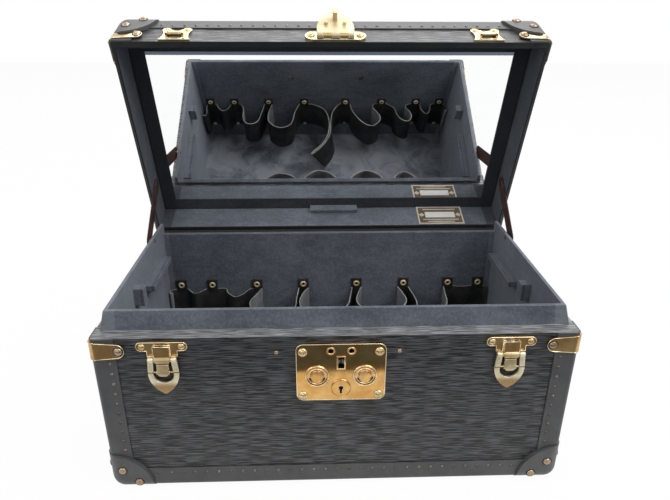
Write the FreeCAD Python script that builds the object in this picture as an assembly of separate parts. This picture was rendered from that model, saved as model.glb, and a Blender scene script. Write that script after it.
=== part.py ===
"""Hard vanity case: a leather covered wooden box with a raised suede lip, a hinged lid with a mirror,
a two button lock with a swinging hasp, two draw clasps, bottle loops inside and a carrying handle.

Millimetres, +Z up, front towards -Y. The origin lies under the middle of the base, on the surface that
the leather corner caps stand on. The lid is built shut and then opened on its hinge line.
"""
import FreeCAD
import Part
import math
import os

V = FreeCAD.Vector
RIGHT = V(1, 0, 0)
BACK = V(0, 1, 0)
UP = V(0, 0, 1)

# Whole case
case_w = 340.0
case_d = 192.0
base_h = 131.0
lid_h = 41.0
lid_gap = 0.4
lid_open_deg = 70.75
corner_r = 3.6
overrun = 20.0
fuzz = 0.01
along_share = 0.5
slant_share = math.sqrt(0.5)
half_turn_deg = 180.0
quarter_turn_deg = half_turn_deg / 2
full_turn_deg = 2 * half_turn_deg

# Fits
pin_gap = 0.05
slide_gap = 0.3

# Leather skins outside the wood
cover_t = 1.0
edging_t = 1.0
edging_w = 16.8

# Base walls and lining, measured from the outside of the case
front_inset = 12.2
side_inset = 4.6
rear_inset = 8.0
floor_t = 5.0
lining_floor_t = 2.5
lip_h = 13.4
lip_lean_front = 3.7
lip_lean_side = 2.7
lip_top_t = 2.5
rear_lip_h = 4.0
rear_lining_t = 4.0

# Lid walls, measured from the outside of the case to the suede
lid_front_wall = 6.3
lid_side_wall = 4.0
lid_rear_wall = 6.0
lid_top_wood_t = 2.0
lid_lining_t = 0.8

# Leather corner caps; the base stands on its four and on a panel level with them
cap_t = 2.4
cap_reach = 31.0
under_cap_r = 8.4
under_cap_share = 0.8
cap_rivet_near_share = 0.28
cap_rivet_far_share = 0.64
panel_play = 0.5

# Brass corner straps beside the rims
strap_t = 1.0
strap_l = 19.0
strap_h = 13.6
strap_tip_r = 5.4
strap_drop = 2.2
strap_rivet_in = 19.6

# Small nails and rivets
nail_r = 1.25
nail_h = 0.8
nail_in = 12.4
nail_pitch = 8.9
nail_clear = 4.0
rivet_r = 2.7
rivet_rise_share = 0.52
rivet_shank_r = 1.1
rivet_shank_l = 4.0
cap_shank_l = 4.8

# Long hinge on the back
hinge_side_gap = 2.7
hinge_knuckle_l = 20.0
hinge_out = 1.1
hinge_leaf_h = 14.0
hinge_leaf_t = 1.0
hinge_leaf_gap = 0.5
hinge_knuckle_r = 1.8
hinge_pin_r = 0.8
hinge_rivet_pitch = 45.0
hinge_rivet_end = 12.0
hinge_rivet_z = 8.4
hinge_rivet_r = 1.7

# Lock on the front
lock_x = 2.1
lock_plate_w = 62.8
lock_plate_h = 46.6
lock_plate_t = 1.5
lock_plate_r = 5.0
lock_drop = 6.0
lock_rivet_in = 4.5
lock_rivet_down = 6.2
lock_rivet_up = 4.2
lock_rivet_r = 3.0
lock_case_w = 48.0
lock_case_h = 41.0
lock_case_d = 7.5
lock_case_wall = 0.8
lock_case_drop = 8.5
slot_w = 4.8
slot_h = 9.7
slot_down = 21.3
pin_hole_r = 2.2
pin_hole_x = 7.25
pin_hole_down = 11.4
button_x = 17.0
button_down = 32.1
button_r = 4.1
button_out = 0.9
button_flange_r = 5.4
button_flange_t = 1.0
button_stem_r = 2.0
button_stem_l = 2.8
button_ring_r = 8.2
button_ring_w = 1.9
button_ring_h = 0.7
button_play = 0.2
button_travel = 2.0
spring_r = 3.8
spring_wall = 0.8
rosette_r = 6.5
rosette_h = 0.7
rosette_down = 42.4
key_r = 1.9
key_slot_w = 2.0
key_slot_l = 5.2
key_post_r = 0.7
bolt_back = 0.2
bolt_t = 2.0
bolt_h = 3.4
bolt_l = 13.0
bolt_nose_gap = 0.5
bolt_tail_w = 3.0
guide_in = 4.5
guide_out = 13.5

# Hasp on the lid
hasp_plate_w = 47.0
hasp_plate_h = 15.0
hasp_plate_t = 1.6
hasp_plate_up = 8.6
hasp_rivet_x = 19.0
hasp_axis_up = 3.4
hasp_axis_out = 4.0
hasp_knuckle_r = 2.4
hasp_pin_r = 1.1
hasp_half_w = 14.0
hasp_mid_w = 6.0
hasp_knuckle_w = 6.4
hasp_side_gap = 0.2
hasp_t = 2.4
hasp_l = 38.0
hasp_root = 2.8
hasp_rest_deg = 5.0
hasp_waist_share = 0.76
hasp_waist_l_share = 0.67
hasp_peg_r = 1.5
hasp_peg_l = 2.3
staple_w = 3.4
staple_h = 8.6
staple_leg = 2.0
staple_l = 6.6
staple_bar = 1.4

# Draw clasps
clasp_in = 49.0
clasp_drop = 2.7
clasp_w = 34.7
clasp_ear_h = 6.6
clasp_foot_w = 20.8
clasp_foot_h = 4.5
clasp_t = 1.2
clasp_rivet_x = 13.5
clasp_rivet_r = 2.2
lug_w = 11.2
lug_out = 3.3
lug_drop = 5.0
lever_axis_down = 15.2
lever_axis_out = 3.2
lever_t = 2.0
lever_l = 27.8
lever_half_w = 10.6
lever_arm_w = 3.7
lever_knuckle_r = 1.7
lever_pin_r = 0.8
lever_top_share = 0.92
lever_seam_share = 0.36
lever_waist_share = 0.80
lever_waist_l_share = 0.70
lever_hole_share = 0.67
lever_hole_waist_share = 0.72
lever_hole_waist_l_share = 0.60
hook_pin_r = 0.6
hook_eye_r = 1.8
hook_w = 9.2
hook_body_w = 8.4
hook_body_t = 1.7
hook_l = 5.4
hook_lean = 0.4
hook_curl_r = 1.2

# Catch plates on the lid
catch_w = 24.0
catch_h = 21.0
catch_t = 1.2
catch_up = 1.2
catch_window_w = 11.0
catch_window_h = 8.0
catch_window_up = 3.2
catch_ear_w = 1.5
catch_ear_h = 5.0
catch_ear_out = 5.0
catch_roll_r = 1.3
catch_roll_out = 3.4
catch_rivet_x = 7.8
catch_rivet_up = 19.0
catch_rivet_r = 2.0
catch_lobe_r = 3.2
catch_waist_share = 0.79
catch_waist_up_share = 0.45
catch_shoulder_share = 0.86
catch_dip = 4.2

# Mirror in the lid
mirror_play = 0.4
mirror_backing_t = 0.8
mirror_glass_t = 2.4
mirror_front_in = 17.3
mirror_side_in = 11.5
mirror_rear_in = 8.5
mirror_frame_low = 28.5
mirror_frame_edge = 0.9
mirror_lip_t = 0.5
mirror_pocket = 2.5
tab_x = 3.6
tab_w = 47.0
tab_h = 8.0
tab_t = 4.0
label_in = 59.5
label_w = 45.5
label_h = 26.5
label_up = 1.6
label_t = 0.7

# Leather stays at the sides of the lid
stay_t = 0.8
stay_w = 13.0
stay_wall_gap = 0.3
stay_base_back = 42.5
stay_base_up = 10.0
stay_lid_back = 43.8
stay_lid_up = 17.4
stay_pin_r = 2.0

# Tray rests on the side walls
ledge_w = 8.0
ledge_t = 5.0
ledge_drop = 13.0
ledge_front_y = 9.0
ledge_rear_gap = 13.5
stop_t = 8.0
stop_h = 15.0
stop_front_y = -22.0

# Bottle loops
band_t = 1.5
band_h = 38.0
band_pad_w = 8.0
band_end = 6.0
front_tab_drop = 54.0
rear_tab_drop = 50.0
loop_tab_w = 10.5
loop_tab_up = 5.3
loop_tab_down = 8.0
snap_r = 3.1
snap_hole_r = 1.5
snap_t = 1.1
snap_low_up = 5.0
snap_low_r = 2.1
snap_low_hole_r = 0.9
loop_lead = 1.8
tab_x_shares = (-0.925, -0.735, -0.46, -0.172, 0.16, 0.455, 0.735, 0.925)
front_loop_shares = (0.10, 0.20, 0.24, 0.42, 0.23, 0.19, 0.12)
rear_loop_shares = (0.09, 0.135, 0.34, 0.36, 0.35, 0.32, 0.09)

# Pins that pass through the front wall
through_x = 43.0
through_drop = 13.0
through_r = 0.9
through_head_r = 1.6
through_head_h = 0.7

# Handle on the lid
handle_span = 104.0
handle_reach = 36.0
handle_bend_r = 20.0
grip_r = 6.5
handle_axis_up = 9.2
handle_eye_r = 5.0
handle_eye_w = 9.0
handle_neck_r = 4.6
handle_neck_l = 7.0
handle_pin_r = 1.8
handle_plate_w = 31.0
handle_plate_d = 20.0
handle_plate_t = 1.4
handle_ear_t = 2.0
handle_ear_d = 9.0
handle_ear_gap = 0.3
handle_rivet_x = 11.4
handle_y = -14.0

# Levels and faces that the pieces share
foot_h = cap_t
cap_r = under_cap_r + cap_t
rim_z = foot_h + base_h
lid_low = rim_z + lid_gap
lid_top = rim_z + lid_h
clasp_x = case_w / 2 - clasp_in
label_x = case_w / 2 - label_in
hinge_l = case_w - 2 * (strap_rivet_in + rivet_r + hinge_side_gap)
cover_w = case_w - 2 * edging_t
cover_d = case_d - 2 * edging_t
cover_r = corner_r - edging_t
wood_w = cover_w - 2 * cover_t
wood_d = cover_d - 2 * cover_t
wood_r = under_cap_r - edging_t - cover_t
front_y = -cover_d / 2
rear_y = cover_d / 2
floor_z = foot_h + edging_t + cover_t + floor_t
lining_x = case_w / 2 - side_inset
lining_front = -case_d / 2 + front_inset
lining_rear = case_d / 2 - rear_inset
inner_x = lining_x - lip_lean_side - lip_top_t
inner_front = lining_front + lip_lean_front + lip_top_t
inner_rear = lining_rear - rear_lining_t
inner_floor = floor_z + lining_floor_t
ledge_rear_y = inner_rear - ledge_rear_gap
lid_x = case_w / 2 - lid_side_wall
lid_front = -case_d / 2 + lid_front_wall
lid_rear = case_d / 2 - lid_rear_wall
lid_roof = lid_top - edging_t - cover_t - lid_top_wood_t
hinge_at = V(0, case_d / 2 + hinge_out, rim_z + lid_gap / 2)


def block(x0, x1, y0, y1, z0, z1):
    """Plain block between two x, two y and two z values."""
    return Part.makeBox(x1 - x0, y1 - y0, z1 - z0, V(x0, y0, z0))


def upright_block(w, d, r, low, high):
    """Block centred on the z axis, with its upright edges rounded."""
    shape = block(-w / 2, w / 2, -d / 2, d / 2, low, high)
    upright = [e for e in shape.Edges if abs(e.tangentAt(e.FirstParameter).z) > along_share]
    return shape.makeFillet(r, upright)


def tub_block(w, d, r, shut_z, open_z):
    """Block centred on the z axis, rounded on its upright edges and round its shut end."""
    zs = sorted((shut_z, open_z))
    shape = block(-w / 2, w / 2, -d / 2, d / 2, zs[0], zs[1])
    away = [max(abs(e.BoundBox.ZMin - open_z), abs(e.BoundBox.ZMax - open_z)) for e in shape.Edges]
    return shape.makeFillet(r, [e for e, far in zip(shape.Edges, away) if far > fuzz])


def rod_x(r, x0, x1, y, z):
    """Round rod along X."""
    return Part.makeCylinder(r, x1 - x0, V(x0, y, z), RIGHT)


def rod_y(r, y0, y1, x, z):
    """Round rod along Y."""
    return Part.makeCylinder(r, y1 - y0, V(x, y0, z), BACK)


def plate_y(edges, y0, y1):
    """Plate whose outline lies in an XZ plane at y0, drawn through to y1."""
    return Part.Face(Part.Wire(edges)).extrude(V(0, y1 - y0, 0))


def arc(a, b, c):
    """Arc through three points."""
    return Part.Arc(a, b, c).toShape()


def dome(seat, normal, r, height):
    """Low round head on a surface: a slice of a ball."""
    ball_r = (r * r + height * height) / (2 * height)
    start = math.degrees(math.asin((ball_r - height) / ball_r))
    centre = seat - normal * (ball_r - height)
    return Part.makeSphere(ball_r, centre, normal, start, quarter_turn_deg, full_turn_deg)


def shank(seat, normal, length):
    """Shank of a rivet, running inwards from its seat."""
    return Part.makeCylinder(rivet_shank_r, length, seat, normal * -1)


def rivet(seat, normal, r=rivet_r, length=rivet_shank_l):
    """Round-headed rivet, whose head is as high as its share of the radius."""
    return dome(seat, normal, r, r * rivet_rise_share).fuse(shank(seat, normal, length))


def spread(low, high, pitch):
    """Evenly spread places from low to high, about one pitch apart."""
    steps = max(1, round((high - low) / pitch))
    return [low + (high - low) * i / steps for i in range(steps + 1)]


def group(shapes):
    """Separate solids that share one node."""
    return Part.makeCompound(list(shapes))


def both(maker):
    """A piece on the left and its twin on the right."""
    return group([maker(-1), maker(1)])


def corners():
    """Signs of the four upright corners."""
    return [(sx, sy) for sx in (-1, 1) for sy in (-1, 1)]


def opened(shape):
    """A lid piece, turned from shut to open on the hinge line."""
    turned = shape.copy()
    turned.rotate(hinge_at, RIGHT, -lid_open_deg)
    return turned


def keep(name, shape):
    """Write one node."""
    shape.exportStep("parts/" + name + ".step")
    print(name, len(shape.Solids), "solids", round(shape.Volume), "mm3", "valid", shape.isValid())


# Corner hardware, the same for the base and the lid


def corner_balls(level, reach):
    """Balls about the four corners at one end of the case."""
    return [Part.makeSphere(reach, V(sx * case_w / 2, sy * case_d / 2, level)) for sx, sy in corners()]


def corner_caps(level, inward, edging, cover, straps):
    """Moulded leather caps over the four corners at one end of the case, and over what lies under them."""
    open_z = level + inward * (cap_reach + overrun)
    skin = tub_block(case_w + 2 * cap_t, case_d + 2 * cap_t, cap_r, level - inward * cap_t, open_z)
    skin = skin.cut(cover).cut(edging).cut(group(straps))
    return [skin.common(ball) for ball in corner_balls(level, cap_reach)]


def cap_rivet_seats(level, inward):
    """Seats and normals of the rivets in the corner caps, two on each upright face."""
    near = cap_reach * cap_rivet_near_share
    far = cap_reach * cap_rivet_far_share
    seats = []
    for sx, sy in corners():
        for across, along in ((near, far), (far, near)):
            z = level - inward * cap_t + inward * along
            seats.append((V(sx * (case_w / 2 - across), sy * (case_d / 2 + cap_t), z), BACK * sy))
            seats.append((V(sx * (case_w / 2 + cap_t), sy * (case_d / 2 - across), z), RIGHT * sx))
    return seats


def strap_wing(z0, z1):
    """Outline of one wing of a corner strap, from the corner at zero to its round tip, in the XZ plane."""
    mid = (z0 + z1) / 2
    foot = V(0, 0, z0)
    head = V(0, 0, z1)
    tip_low = V(strap_l, 0, mid - strap_tip_r)
    tip_high = V(strap_l, 0, mid + strap_tip_r)
    tip = V(strap_l + strap_tip_r, 0, mid)
    sides = [Part.makeLine(foot, tip_low), arc(tip_low, tip, tip_high)]
    return sides + [Part.makeLine(tip_high, head), Part.makeLine(head, foot)]


def corner_straps(z0, z1):
    """Brass straps bent round the four upright corners."""
    skin = upright_block(case_w + 2 * strap_t, case_d + 2 * strap_t, corner_r + strap_t, z0, z1)
    skin = skin.cut(upright_block(case_w, case_d, corner_r, z0 - overrun, z1 + overrun))
    along_x = plate_y(strap_wing(z0, z1), 0, strap_t + corner_r)
    along_y = along_x.copy()
    along_y.rotate(V(0, 0, 0), UP, quarter_turn_deg)
    wings = along_x.fuse(along_y.mirror(V(0, 0, 0), RIGHT))
    straps = []
    for sx, sy in corners():
        cutter = wings.copy()
        if sx > 0:
            cutter = cutter.mirror(V(0, 0, 0), RIGHT)
        if sy > 0:
            cutter = cutter.mirror(V(0, 0, 0), BACK)
        cutter.translate(V(sx * (case_w / 2 + strap_t), sy * (case_d / 2 + strap_t), 0))
        straps.append(skin.common(cutter))
    return straps


def strap_rivet_seats(z):
    """Seats and normals of the rivets in the corner straps."""
    seats = []
    for sx, sy in corners():
        seats.append((V(sx * (case_w / 2 - strap_rivet_in), sy * (case_d / 2 + strap_t), z), BACK * sy))
        seats.append((V(sx * (case_w / 2 + strap_t), sy * (case_d / 2 - strap_rivet_in), z), RIGHT * sx))
    return seats


def wall_nails(z):
    """Nail heads in a row round the four walls at one height."""
    stop_x = case_w / 2 - cap_reach - nail_clear
    stop_y = case_d / 2 - cap_reach - nail_clear
    heads = []
    for side in (-1, 1):
        for x in spread(-stop_x, stop_x, nail_pitch):
            heads.append(dome(V(x, side * case_d / 2, z), BACK * side, nail_r, nail_h))
        for y in spread(-stop_y, stop_y, nail_pitch):
            heads.append(dome(V(side * case_w / 2, y, z), RIGHT * side, nail_r, nail_h))
    return heads


def skin_block(w, d, r, inset, shut_z, open_z, level):
    """Tub block that is rounder in the four corners that the caps cover."""
    plain = tub_block(w, d, r, shut_z, open_z)
    rounder = tub_block(w, d, under_cap_r - inset, shut_z, open_z)
    return plain.cut(group(ball.cut(rounder) for ball in corner_balls(level, cap_reach * under_cap_share)))


# Base


def base_skins():
    """Wooden box, its leather covering and its leather edging, before any holes."""
    skin_t = edging_t + cover_t
    outer = skin_block(case_w, case_d, corner_r, 0, foot_h, rim_z, foot_h)
    cover = skin_block(cover_w, cover_d, cover_r, edging_t, foot_h + edging_t, rim_z, foot_h)
    wood = tub_block(wood_w, wood_d, wood_r, foot_h + skin_t, rim_z - cover_t)
    well = block(-lining_x, lining_x, lining_front, lining_rear, floor_z, rim_z + overrun)
    window_low = foot_h + edging_w
    front_window = block(-case_w / 2 + edging_w, case_w / 2 - edging_w, -case_d, case_d, window_low, rim_z)
    side_window = block(-case_w, case_w, -case_d / 2 + edging_w, case_d / 2 - edging_w, window_low, rim_z)
    under_x = case_w / 2 - edging_w
    under_y = case_d / 2 - edging_w
    under_window = block(-under_x, under_x, -under_y, under_y, 0, floor_z)
    edging = outer.cut(cover).cut(front_window).cut(side_window).cut(under_window)
    return wood.cut(well), cover.cut(wood).cut(well), edging, cover


def base_panel():
    """Leather covered board under the base, between the edging strips and clear of the corner caps."""
    half_x = case_w / 2 - edging_w - panel_play
    half_y = case_d / 2 - edging_w - panel_play
    board = block(-half_x, half_x, -half_y, half_y, 0, foot_h + edging_t)
    return board.cut(group(corner_balls(foot_h, cap_reach + panel_play)))


def base_lining():
    """Suede covered liner: floor, walls and the lip that stands above the rim, lower at the back."""
    walls = block(-lining_x, lining_x, lining_front, lining_rear, floor_z, rim_z)
    foot = [V(-lining_x, lining_front, rim_z), V(lining_x, lining_front, rim_z)]
    foot += [V(lining_x, lining_rear, rim_z), V(-lining_x, lining_rear, rim_z)]
    top_x = lining_x - lip_lean_side
    top_front = lining_front + lip_lean_front
    top_z = rim_z + lip_h
    head = [V(-top_x, top_front, top_z), V(top_x, top_front, top_z)]
    head += [V(top_x, lining_rear, top_z), V(-top_x, lining_rear, top_z)]
    wires = [Part.makePolygon(points + points[:1]) for points in (foot, head)]
    lip = Part.makeLoft(wires, True, True)
    room = block(-inner_x, inner_x, inner_front, inner_rear, inner_floor, top_z + overrun)
    rear_cut = block(-inner_x, inner_x, inner_front, case_d, rim_z + rear_lip_h, top_z + overrun)
    return walls.fuse(lip).cut(room).cut(rear_cut).removeSplitter()


def tray_rests():
    """Ledges and stop blocks on the side walls, for a lift-out tray."""
    pieces = []
    for side in (-1, 1):
        xs = sorted((side * inner_x, side * (inner_x - ledge_w)))
        top = rim_z - ledge_drop
        pieces.append(block(xs[0], xs[1], ledge_front_y, ledge_rear_y, top - ledge_t, top))
        pieces.append(block(xs[0], xs[1], stop_front_y, stop_front_y + stop_t, rim_z - stop_h, rim_z))
    return group(pieces)


def loop_band(wall_y, inward, tab_z, shares):
    """Leather band on edge: pressed to the wall at each tab and standing out in a loop between tabs."""
    high = tab_z - loop_tab_down
    low = high - band_h
    tabs = [share * inner_x for share in tab_x_shares]
    depth = inner_rear - inner_front
    pieces = []
    for x in tabs:
        left = band_end if x == tabs[0] else 0
        right = band_end if x == tabs[-1] else 0
        ys = sorted((wall_y, wall_y + inward * band_t))
        half = band_pad_w / 2
        pieces.append(block(x - half - left, x + half + right, ys[0], ys[1], low, high))
    for x0, x1, share in zip(tabs, tabs[1:], shares):
        left = x0 + band_pad_w / 2 - band_t
        right = x1 - band_pad_w / 2 + band_t
        out_r = (right - left) / 2
        bend_y = wall_y + inward * max(share * depth - out_r, loop_lead)
        ys = sorted((wall_y, bend_y))
        pieces.append(block(left, left + band_t, ys[0], ys[1], low, high))
        pieces.append(block(right - band_t, right, ys[0], ys[1], low, high))
        start = 0 if inward > 0 else half_turn_deg
        centre = V((left + right) / 2, bend_y, low)
        bend = Part.makeCylinder(out_r, band_h, centre, UP, half_turn_deg)
        bend = bend.cut(Part.makeCylinder(out_r - band_t, band_h, centre, UP, full_turn_deg))
        bend.rotate(centre, UP, start)
        pieces.append(bend)
    return pieces[0].multiFuse(pieces[1:]).removeSplitter()


def loop_tabs(wall_y, inward, tab_z):
    """Leather tabs that hold a band to the wall, the ring snaps in them and those low on the band."""
    tabs = []
    snaps = []
    face_y = wall_y + inward * band_t
    ys = sorted((wall_y, face_y))
    rise = sorted((face_y, face_y + inward * snap_t))
    for share in tab_x_shares:
        x = share * inner_x
        half = loop_tab_w / 2
        tabs.append(block(x - half, x + half, ys[0], ys[1], tab_z - loop_tab_down, tab_z + loop_tab_up))
        low_z = tab_z - loop_tab_down - band_h + snap_low_up
        for z, out_r, hole_r in ((tab_z, snap_r, snap_hole_r), (low_z, snap_low_r, snap_low_hole_r)):
            ring = rod_y(out_r, rise[0], rise[1], x, z)
            snaps.append(ring.cut(rod_y(hole_r, rise[0] - overrun, rise[1] + overrun, x, z)))
    return tabs, snaps


def through_pins():
    """Pins through the front wall, with a small head outside and a cap inside."""
    pins = []
    z = rim_z - through_drop
    for side in (-1, 1):
        stem = rod_y(through_r, front_y, inner_front, side * through_x, z)
        outside = dome(V(side * through_x, front_y, z), BACK * -1, through_head_r, through_head_h)
        inside = dome(V(side * through_x, inner_front, z), BACK, snap_r, through_head_h)
        pins.append(stem.fuse(outside).fuse(inside))
    return pins


def through_holes():
    """What the through pins pass through."""
    z = rim_z - through_drop
    return [rod_y(through_r, front_y, inner_front, side * through_x, z) for side in (-1, 1)]


# Lock

lock_plate_face = front_y - lock_plate_t
slot_z = rim_z - slot_down
button_z = rim_z - button_down
rosette_z = rim_z - rosette_down
lock_case_high = rim_z - lock_case_drop
lock_case_back = front_y + lock_case_d
lock_inside = lock_case_back - lock_case_wall
bolt_front = front_y + bolt_back


def lock_mortise():
    """Pocket for the lock case in the leather and the wood."""
    half = lock_case_w / 2
    low = lock_case_high - lock_case_h
    return block(lock_x - half, lock_x + half, front_y, lock_case_back, low, lock_case_high)


def keyhole(y0, y1):
    """Keyhole shape between two y values."""
    slot = block(lock_x - key_slot_w / 2, lock_x + key_slot_w / 2, y0, y1, rosette_z - key_slot_l, rosette_z)
    return rod_y(key_r, y0, y1, lock_x, rosette_z).fuse(slot)


def lock_plate():
    """Brass lock plate with raised button rings, staple slot, peg holes and keyhole."""
    top = rim_z - lock_drop
    half = lock_plate_w / 2
    plate = block(lock_x - half, lock_x + half, lock_plate_face, front_y, top - lock_plate_h, top)
    across = [e for e in plate.Edges if abs(e.tangentAt(e.FirstParameter).y) > along_share]
    plate = plate.makeFillet(lock_plate_r, across)
    through = (lock_plate_face - overrun, front_y + overrun)
    for side in (-1, 1):
        x = lock_x + side * button_x
        ring_face = lock_plate_face - button_ring_h
        ring = rod_y(button_ring_r, ring_face, lock_plate_face, x, button_z)
        ring = ring.cut(rod_y(button_ring_r - button_ring_w, ring_face, lock_plate_face, x, button_z))
        plate = plate.fuse(ring)
        plate = plate.cut(rod_y(button_r + button_play, through[0], through[1], x, button_z))
        x = lock_x + side * pin_hole_x
        plate = plate.cut(rod_y(pin_hole_r, through[0], through[1], x, rim_z - pin_hole_down))
    half_w = slot_w / 2
    half_h = slot_h / 2
    slot = block(lock_x - half_w, lock_x + half_w, through[0], through[1], slot_z - half_h, slot_z + half_h)
    plate = plate.cut(slot).cut(keyhole(through[0], through[1]))
    return plate.cut(group(shank(seat, normal, rivet_shank_l) for seat, normal in lock_rivet_seats()))


def lock_rivet_seats():
    """Seats of the four corner rivets of the lock plate."""
    x = lock_plate_w / 2 - lock_rivet_in
    high = rim_z - lock_drop - lock_rivet_down
    low = rim_z - lock_drop - lock_plate_h + lock_rivet_up
    places = [(lock_x + side * x, z) for side in (-1, 1) for z in (low, high)]
    return [(V(x, lock_plate_face, z), BACK * -1) for x, z in places]


def lock_case():
    """Steel lock case behind the plate, open to the front, with bolt guides and a key post."""
    box = lock_mortise()
    half = lock_case_w / 2 - lock_case_wall
    high = lock_case_high - lock_case_wall
    low = lock_case_high - lock_case_h + lock_case_wall
    box = box.cut(block(lock_x - half, lock_x + half, front_y, lock_inside, low, high))
    rest = bolt_front + bolt_t + slide_gap
    for side in (-1, 1):
        xs = sorted((lock_x + side * guide_in, lock_x + side * guide_out))
        box = box.fuse(block(xs[0], xs[1], rest, lock_inside, slot_z - bolt_h / 2, slot_z + bolt_h / 2))
    return box.fuse(rod_y(key_post_r, front_y, lock_inside, lock_x, rosette_z))


def rosette():
    """Round keyhole rosette, left plain."""
    face = lock_plate_face - rosette_h
    disc = rod_y(rosette_r, face, lock_plate_face, lock_x, rosette_z)
    return disc.cut(keyhole(face - overrun, lock_plate_face + overrun))


def lock_button(side):
    """Push button: head, flange behind the plate and spring stem."""
    x = lock_x + side * button_x
    flange_y = front_y + pin_gap
    stem_y = flange_y + button_flange_t
    head = rod_y(button_r, lock_plate_face - button_out, flange_y, x, button_z)
    flange = rod_y(button_flange_r, flange_y, stem_y, x, button_z)
    stem = rod_y(button_stem_r, stem_y, stem_y + button_stem_l, x, button_z)
    return head.fuse(flange).fuse(stem)


def button_spring(side):
    """Return spring round the stem of a button, as a plain sleeve."""
    x = lock_x + side * button_x
    y0 = front_y + button_flange_t + 2 * pin_gap
    sleeve = rod_y(spring_r, y0, lock_inside, x, button_z)
    return sleeve.cut(rod_y(spring_r - spring_wall, y0 - overrun, lock_inside + overrun, x, button_z))


def lock_bolt(side):
    """Bolt that passes through the staple; its button draws it aside."""
    y1 = bolt_front + bolt_t
    xs = sorted((lock_x + side * bolt_nose_gap, lock_x + side * bolt_l))
    bolt = block(xs[0], xs[1], bolt_front, y1, slot_z - bolt_h / 2, slot_z + bolt_h / 2)
    tail = sorted((lock_x + side * bolt_l, lock_x + side * (bolt_l - bolt_tail_w)))
    low = button_z + button_flange_r + slide_gap
    return bolt.fuse(block(tail[0], tail[1], bolt_front, y1, low, slot_z)).removeSplitter()


# Draw clasps

lever_z = rim_z - lever_axis_down
lever_y = front_y - lever_axis_out
hook_z = lever_z - lever_l * lever_seam_share
clasp_face = front_y - clasp_t


def clasp_rivet_seats(side):
    """Seats of the rivets in the ears of a clasp plate."""
    z = rim_z - clasp_drop - clasp_ear_h / 2
    return [(V(side * clasp_x + s * clasp_rivet_x, clasp_face, z), BACK * -1) for s in (-1, 1)]


def clasp_plate(side):
    """Brass base plate of a clasp: two ears, a foot and a raised lug that carries the lever pin."""
    x = side * clasp_x
    top = rim_z - clasp_drop
    ear_low = top - clasp_ear_h
    ear_r = clasp_ear_h / 2
    bar = clasp_w / 2 - ear_r
    plate = block(x - bar, x + bar, clasp_face, front_y, ear_low, top)
    for s in (-1, 1):
        plate = plate.fuse(rod_y(ear_r, clasp_face, front_y, x + s * bar, top - ear_r))
    foot = clasp_foot_w / 2
    plate = plate.fuse(block(x - foot, x + foot, clasp_face, front_y, ear_low - clasp_foot_h, ear_low))
    lug = block(x - lug_w / 2, x + lug_w / 2, front_y - lug_out, front_y, lever_z, rim_z - lug_drop)
    plate = plate.fuse(lug).fuse(rod_x(lever_knuckle_r, x - lug_w / 2, x + lug_w / 2, lever_y, lever_z))
    plate = plate.cut(rod_x(lever_pin_r + pin_gap, x - clasp_w, x + clasp_w, lever_y, lever_z))
    holes = group(shank(seat, normal, rivet_shank_l) for seat, normal in clasp_rivet_seats(side))
    return plate.cut(holes).removeSplitter()


def lever_half(sign, half_w, waist, seam, waist_l, tip_l, top):
    """One side of a lever outline, from the pivot down to the tip, as two edges."""
    start = V(sign * top, 0, 0)
    turn = V(sign * half_w, 0, -seam)
    mid = V(sign * waist, 0, -waist_l)
    return [Part.makeLine(start, turn), arc(turn, mid, V(0, 0, -tip_l))]


def clasp_lever(side):
    """Stirrup lever of a clasp, hanging open: two arms and a pointed foot."""
    seam = lever_l * lever_seam_share
    top = lever_half_w * lever_top_share
    waist = lever_half_w * lever_waist_share
    hole_w = lever_half_w - lever_arm_w
    hole_waist = hole_w * lever_hole_waist_share
    hole_top = top - lever_arm_w
    outer = []
    inner = []
    for sign in (-1, 1):
        outer += lever_half(sign, lever_half_w, waist, seam, lever_l * lever_waist_l_share, lever_l, top)
        hole_l = lever_l * lever_hole_share
        hole_waist_l = lever_l * lever_hole_waist_l_share
        inner += lever_half(sign, hole_w, hole_waist, seam, hole_waist_l, hole_l, hole_top)
    outer.append(Part.makeLine(V(-top, 0, 0), V(top, 0, 0)))
    inner.append(Part.makeLine(V(-hole_top, 0, 0), V(hole_top, 0, 0)))
    lever = plate_y(Part.__sortEdges__(outer), 0, lever_t)
    lever = lever.cut(plate_y(Part.__sortEdges__(inner), 0, lever_t))
    lever.translate(V(side * clasp_x, lever_y - lever_t / 2, lever_z))
    x = side * clasp_x
    for sign in (-1, 1):
        xs = sorted((x + sign * hole_top, x + sign * top))
        lever = lever.fuse(rod_x(lever_knuckle_r, xs[0], xs[1], lever_y, lever_z))
    lever = lever.cut(rod_x(lever_knuckle_r + slide_gap, x - hole_top, x + hole_top, lever_y, lever_z))
    lever = lever.cut(rod_x(lever_pin_r + pin_gap, x - clasp_w, x + clasp_w, lever_y, lever_z))
    return lever.cut(rod_x(hook_pin_r + pin_gap, x - clasp_w, x + clasp_w, lever_y, hook_z)).removeSplitter()


def lever_pin(side):
    """Pin that a lever turns on."""
    x = side * clasp_x
    half = lever_half_w * lever_top_share
    return rod_x(lever_pin_r, x - half, x + half, lever_y, lever_z)


def hook_pin(side):
    """Pin between the arms of a lever, which carries the hook."""
    x = side * clasp_x
    return rod_x(hook_pin_r, x - lever_half_w, x + lever_half_w, lever_y, hook_z)


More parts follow.
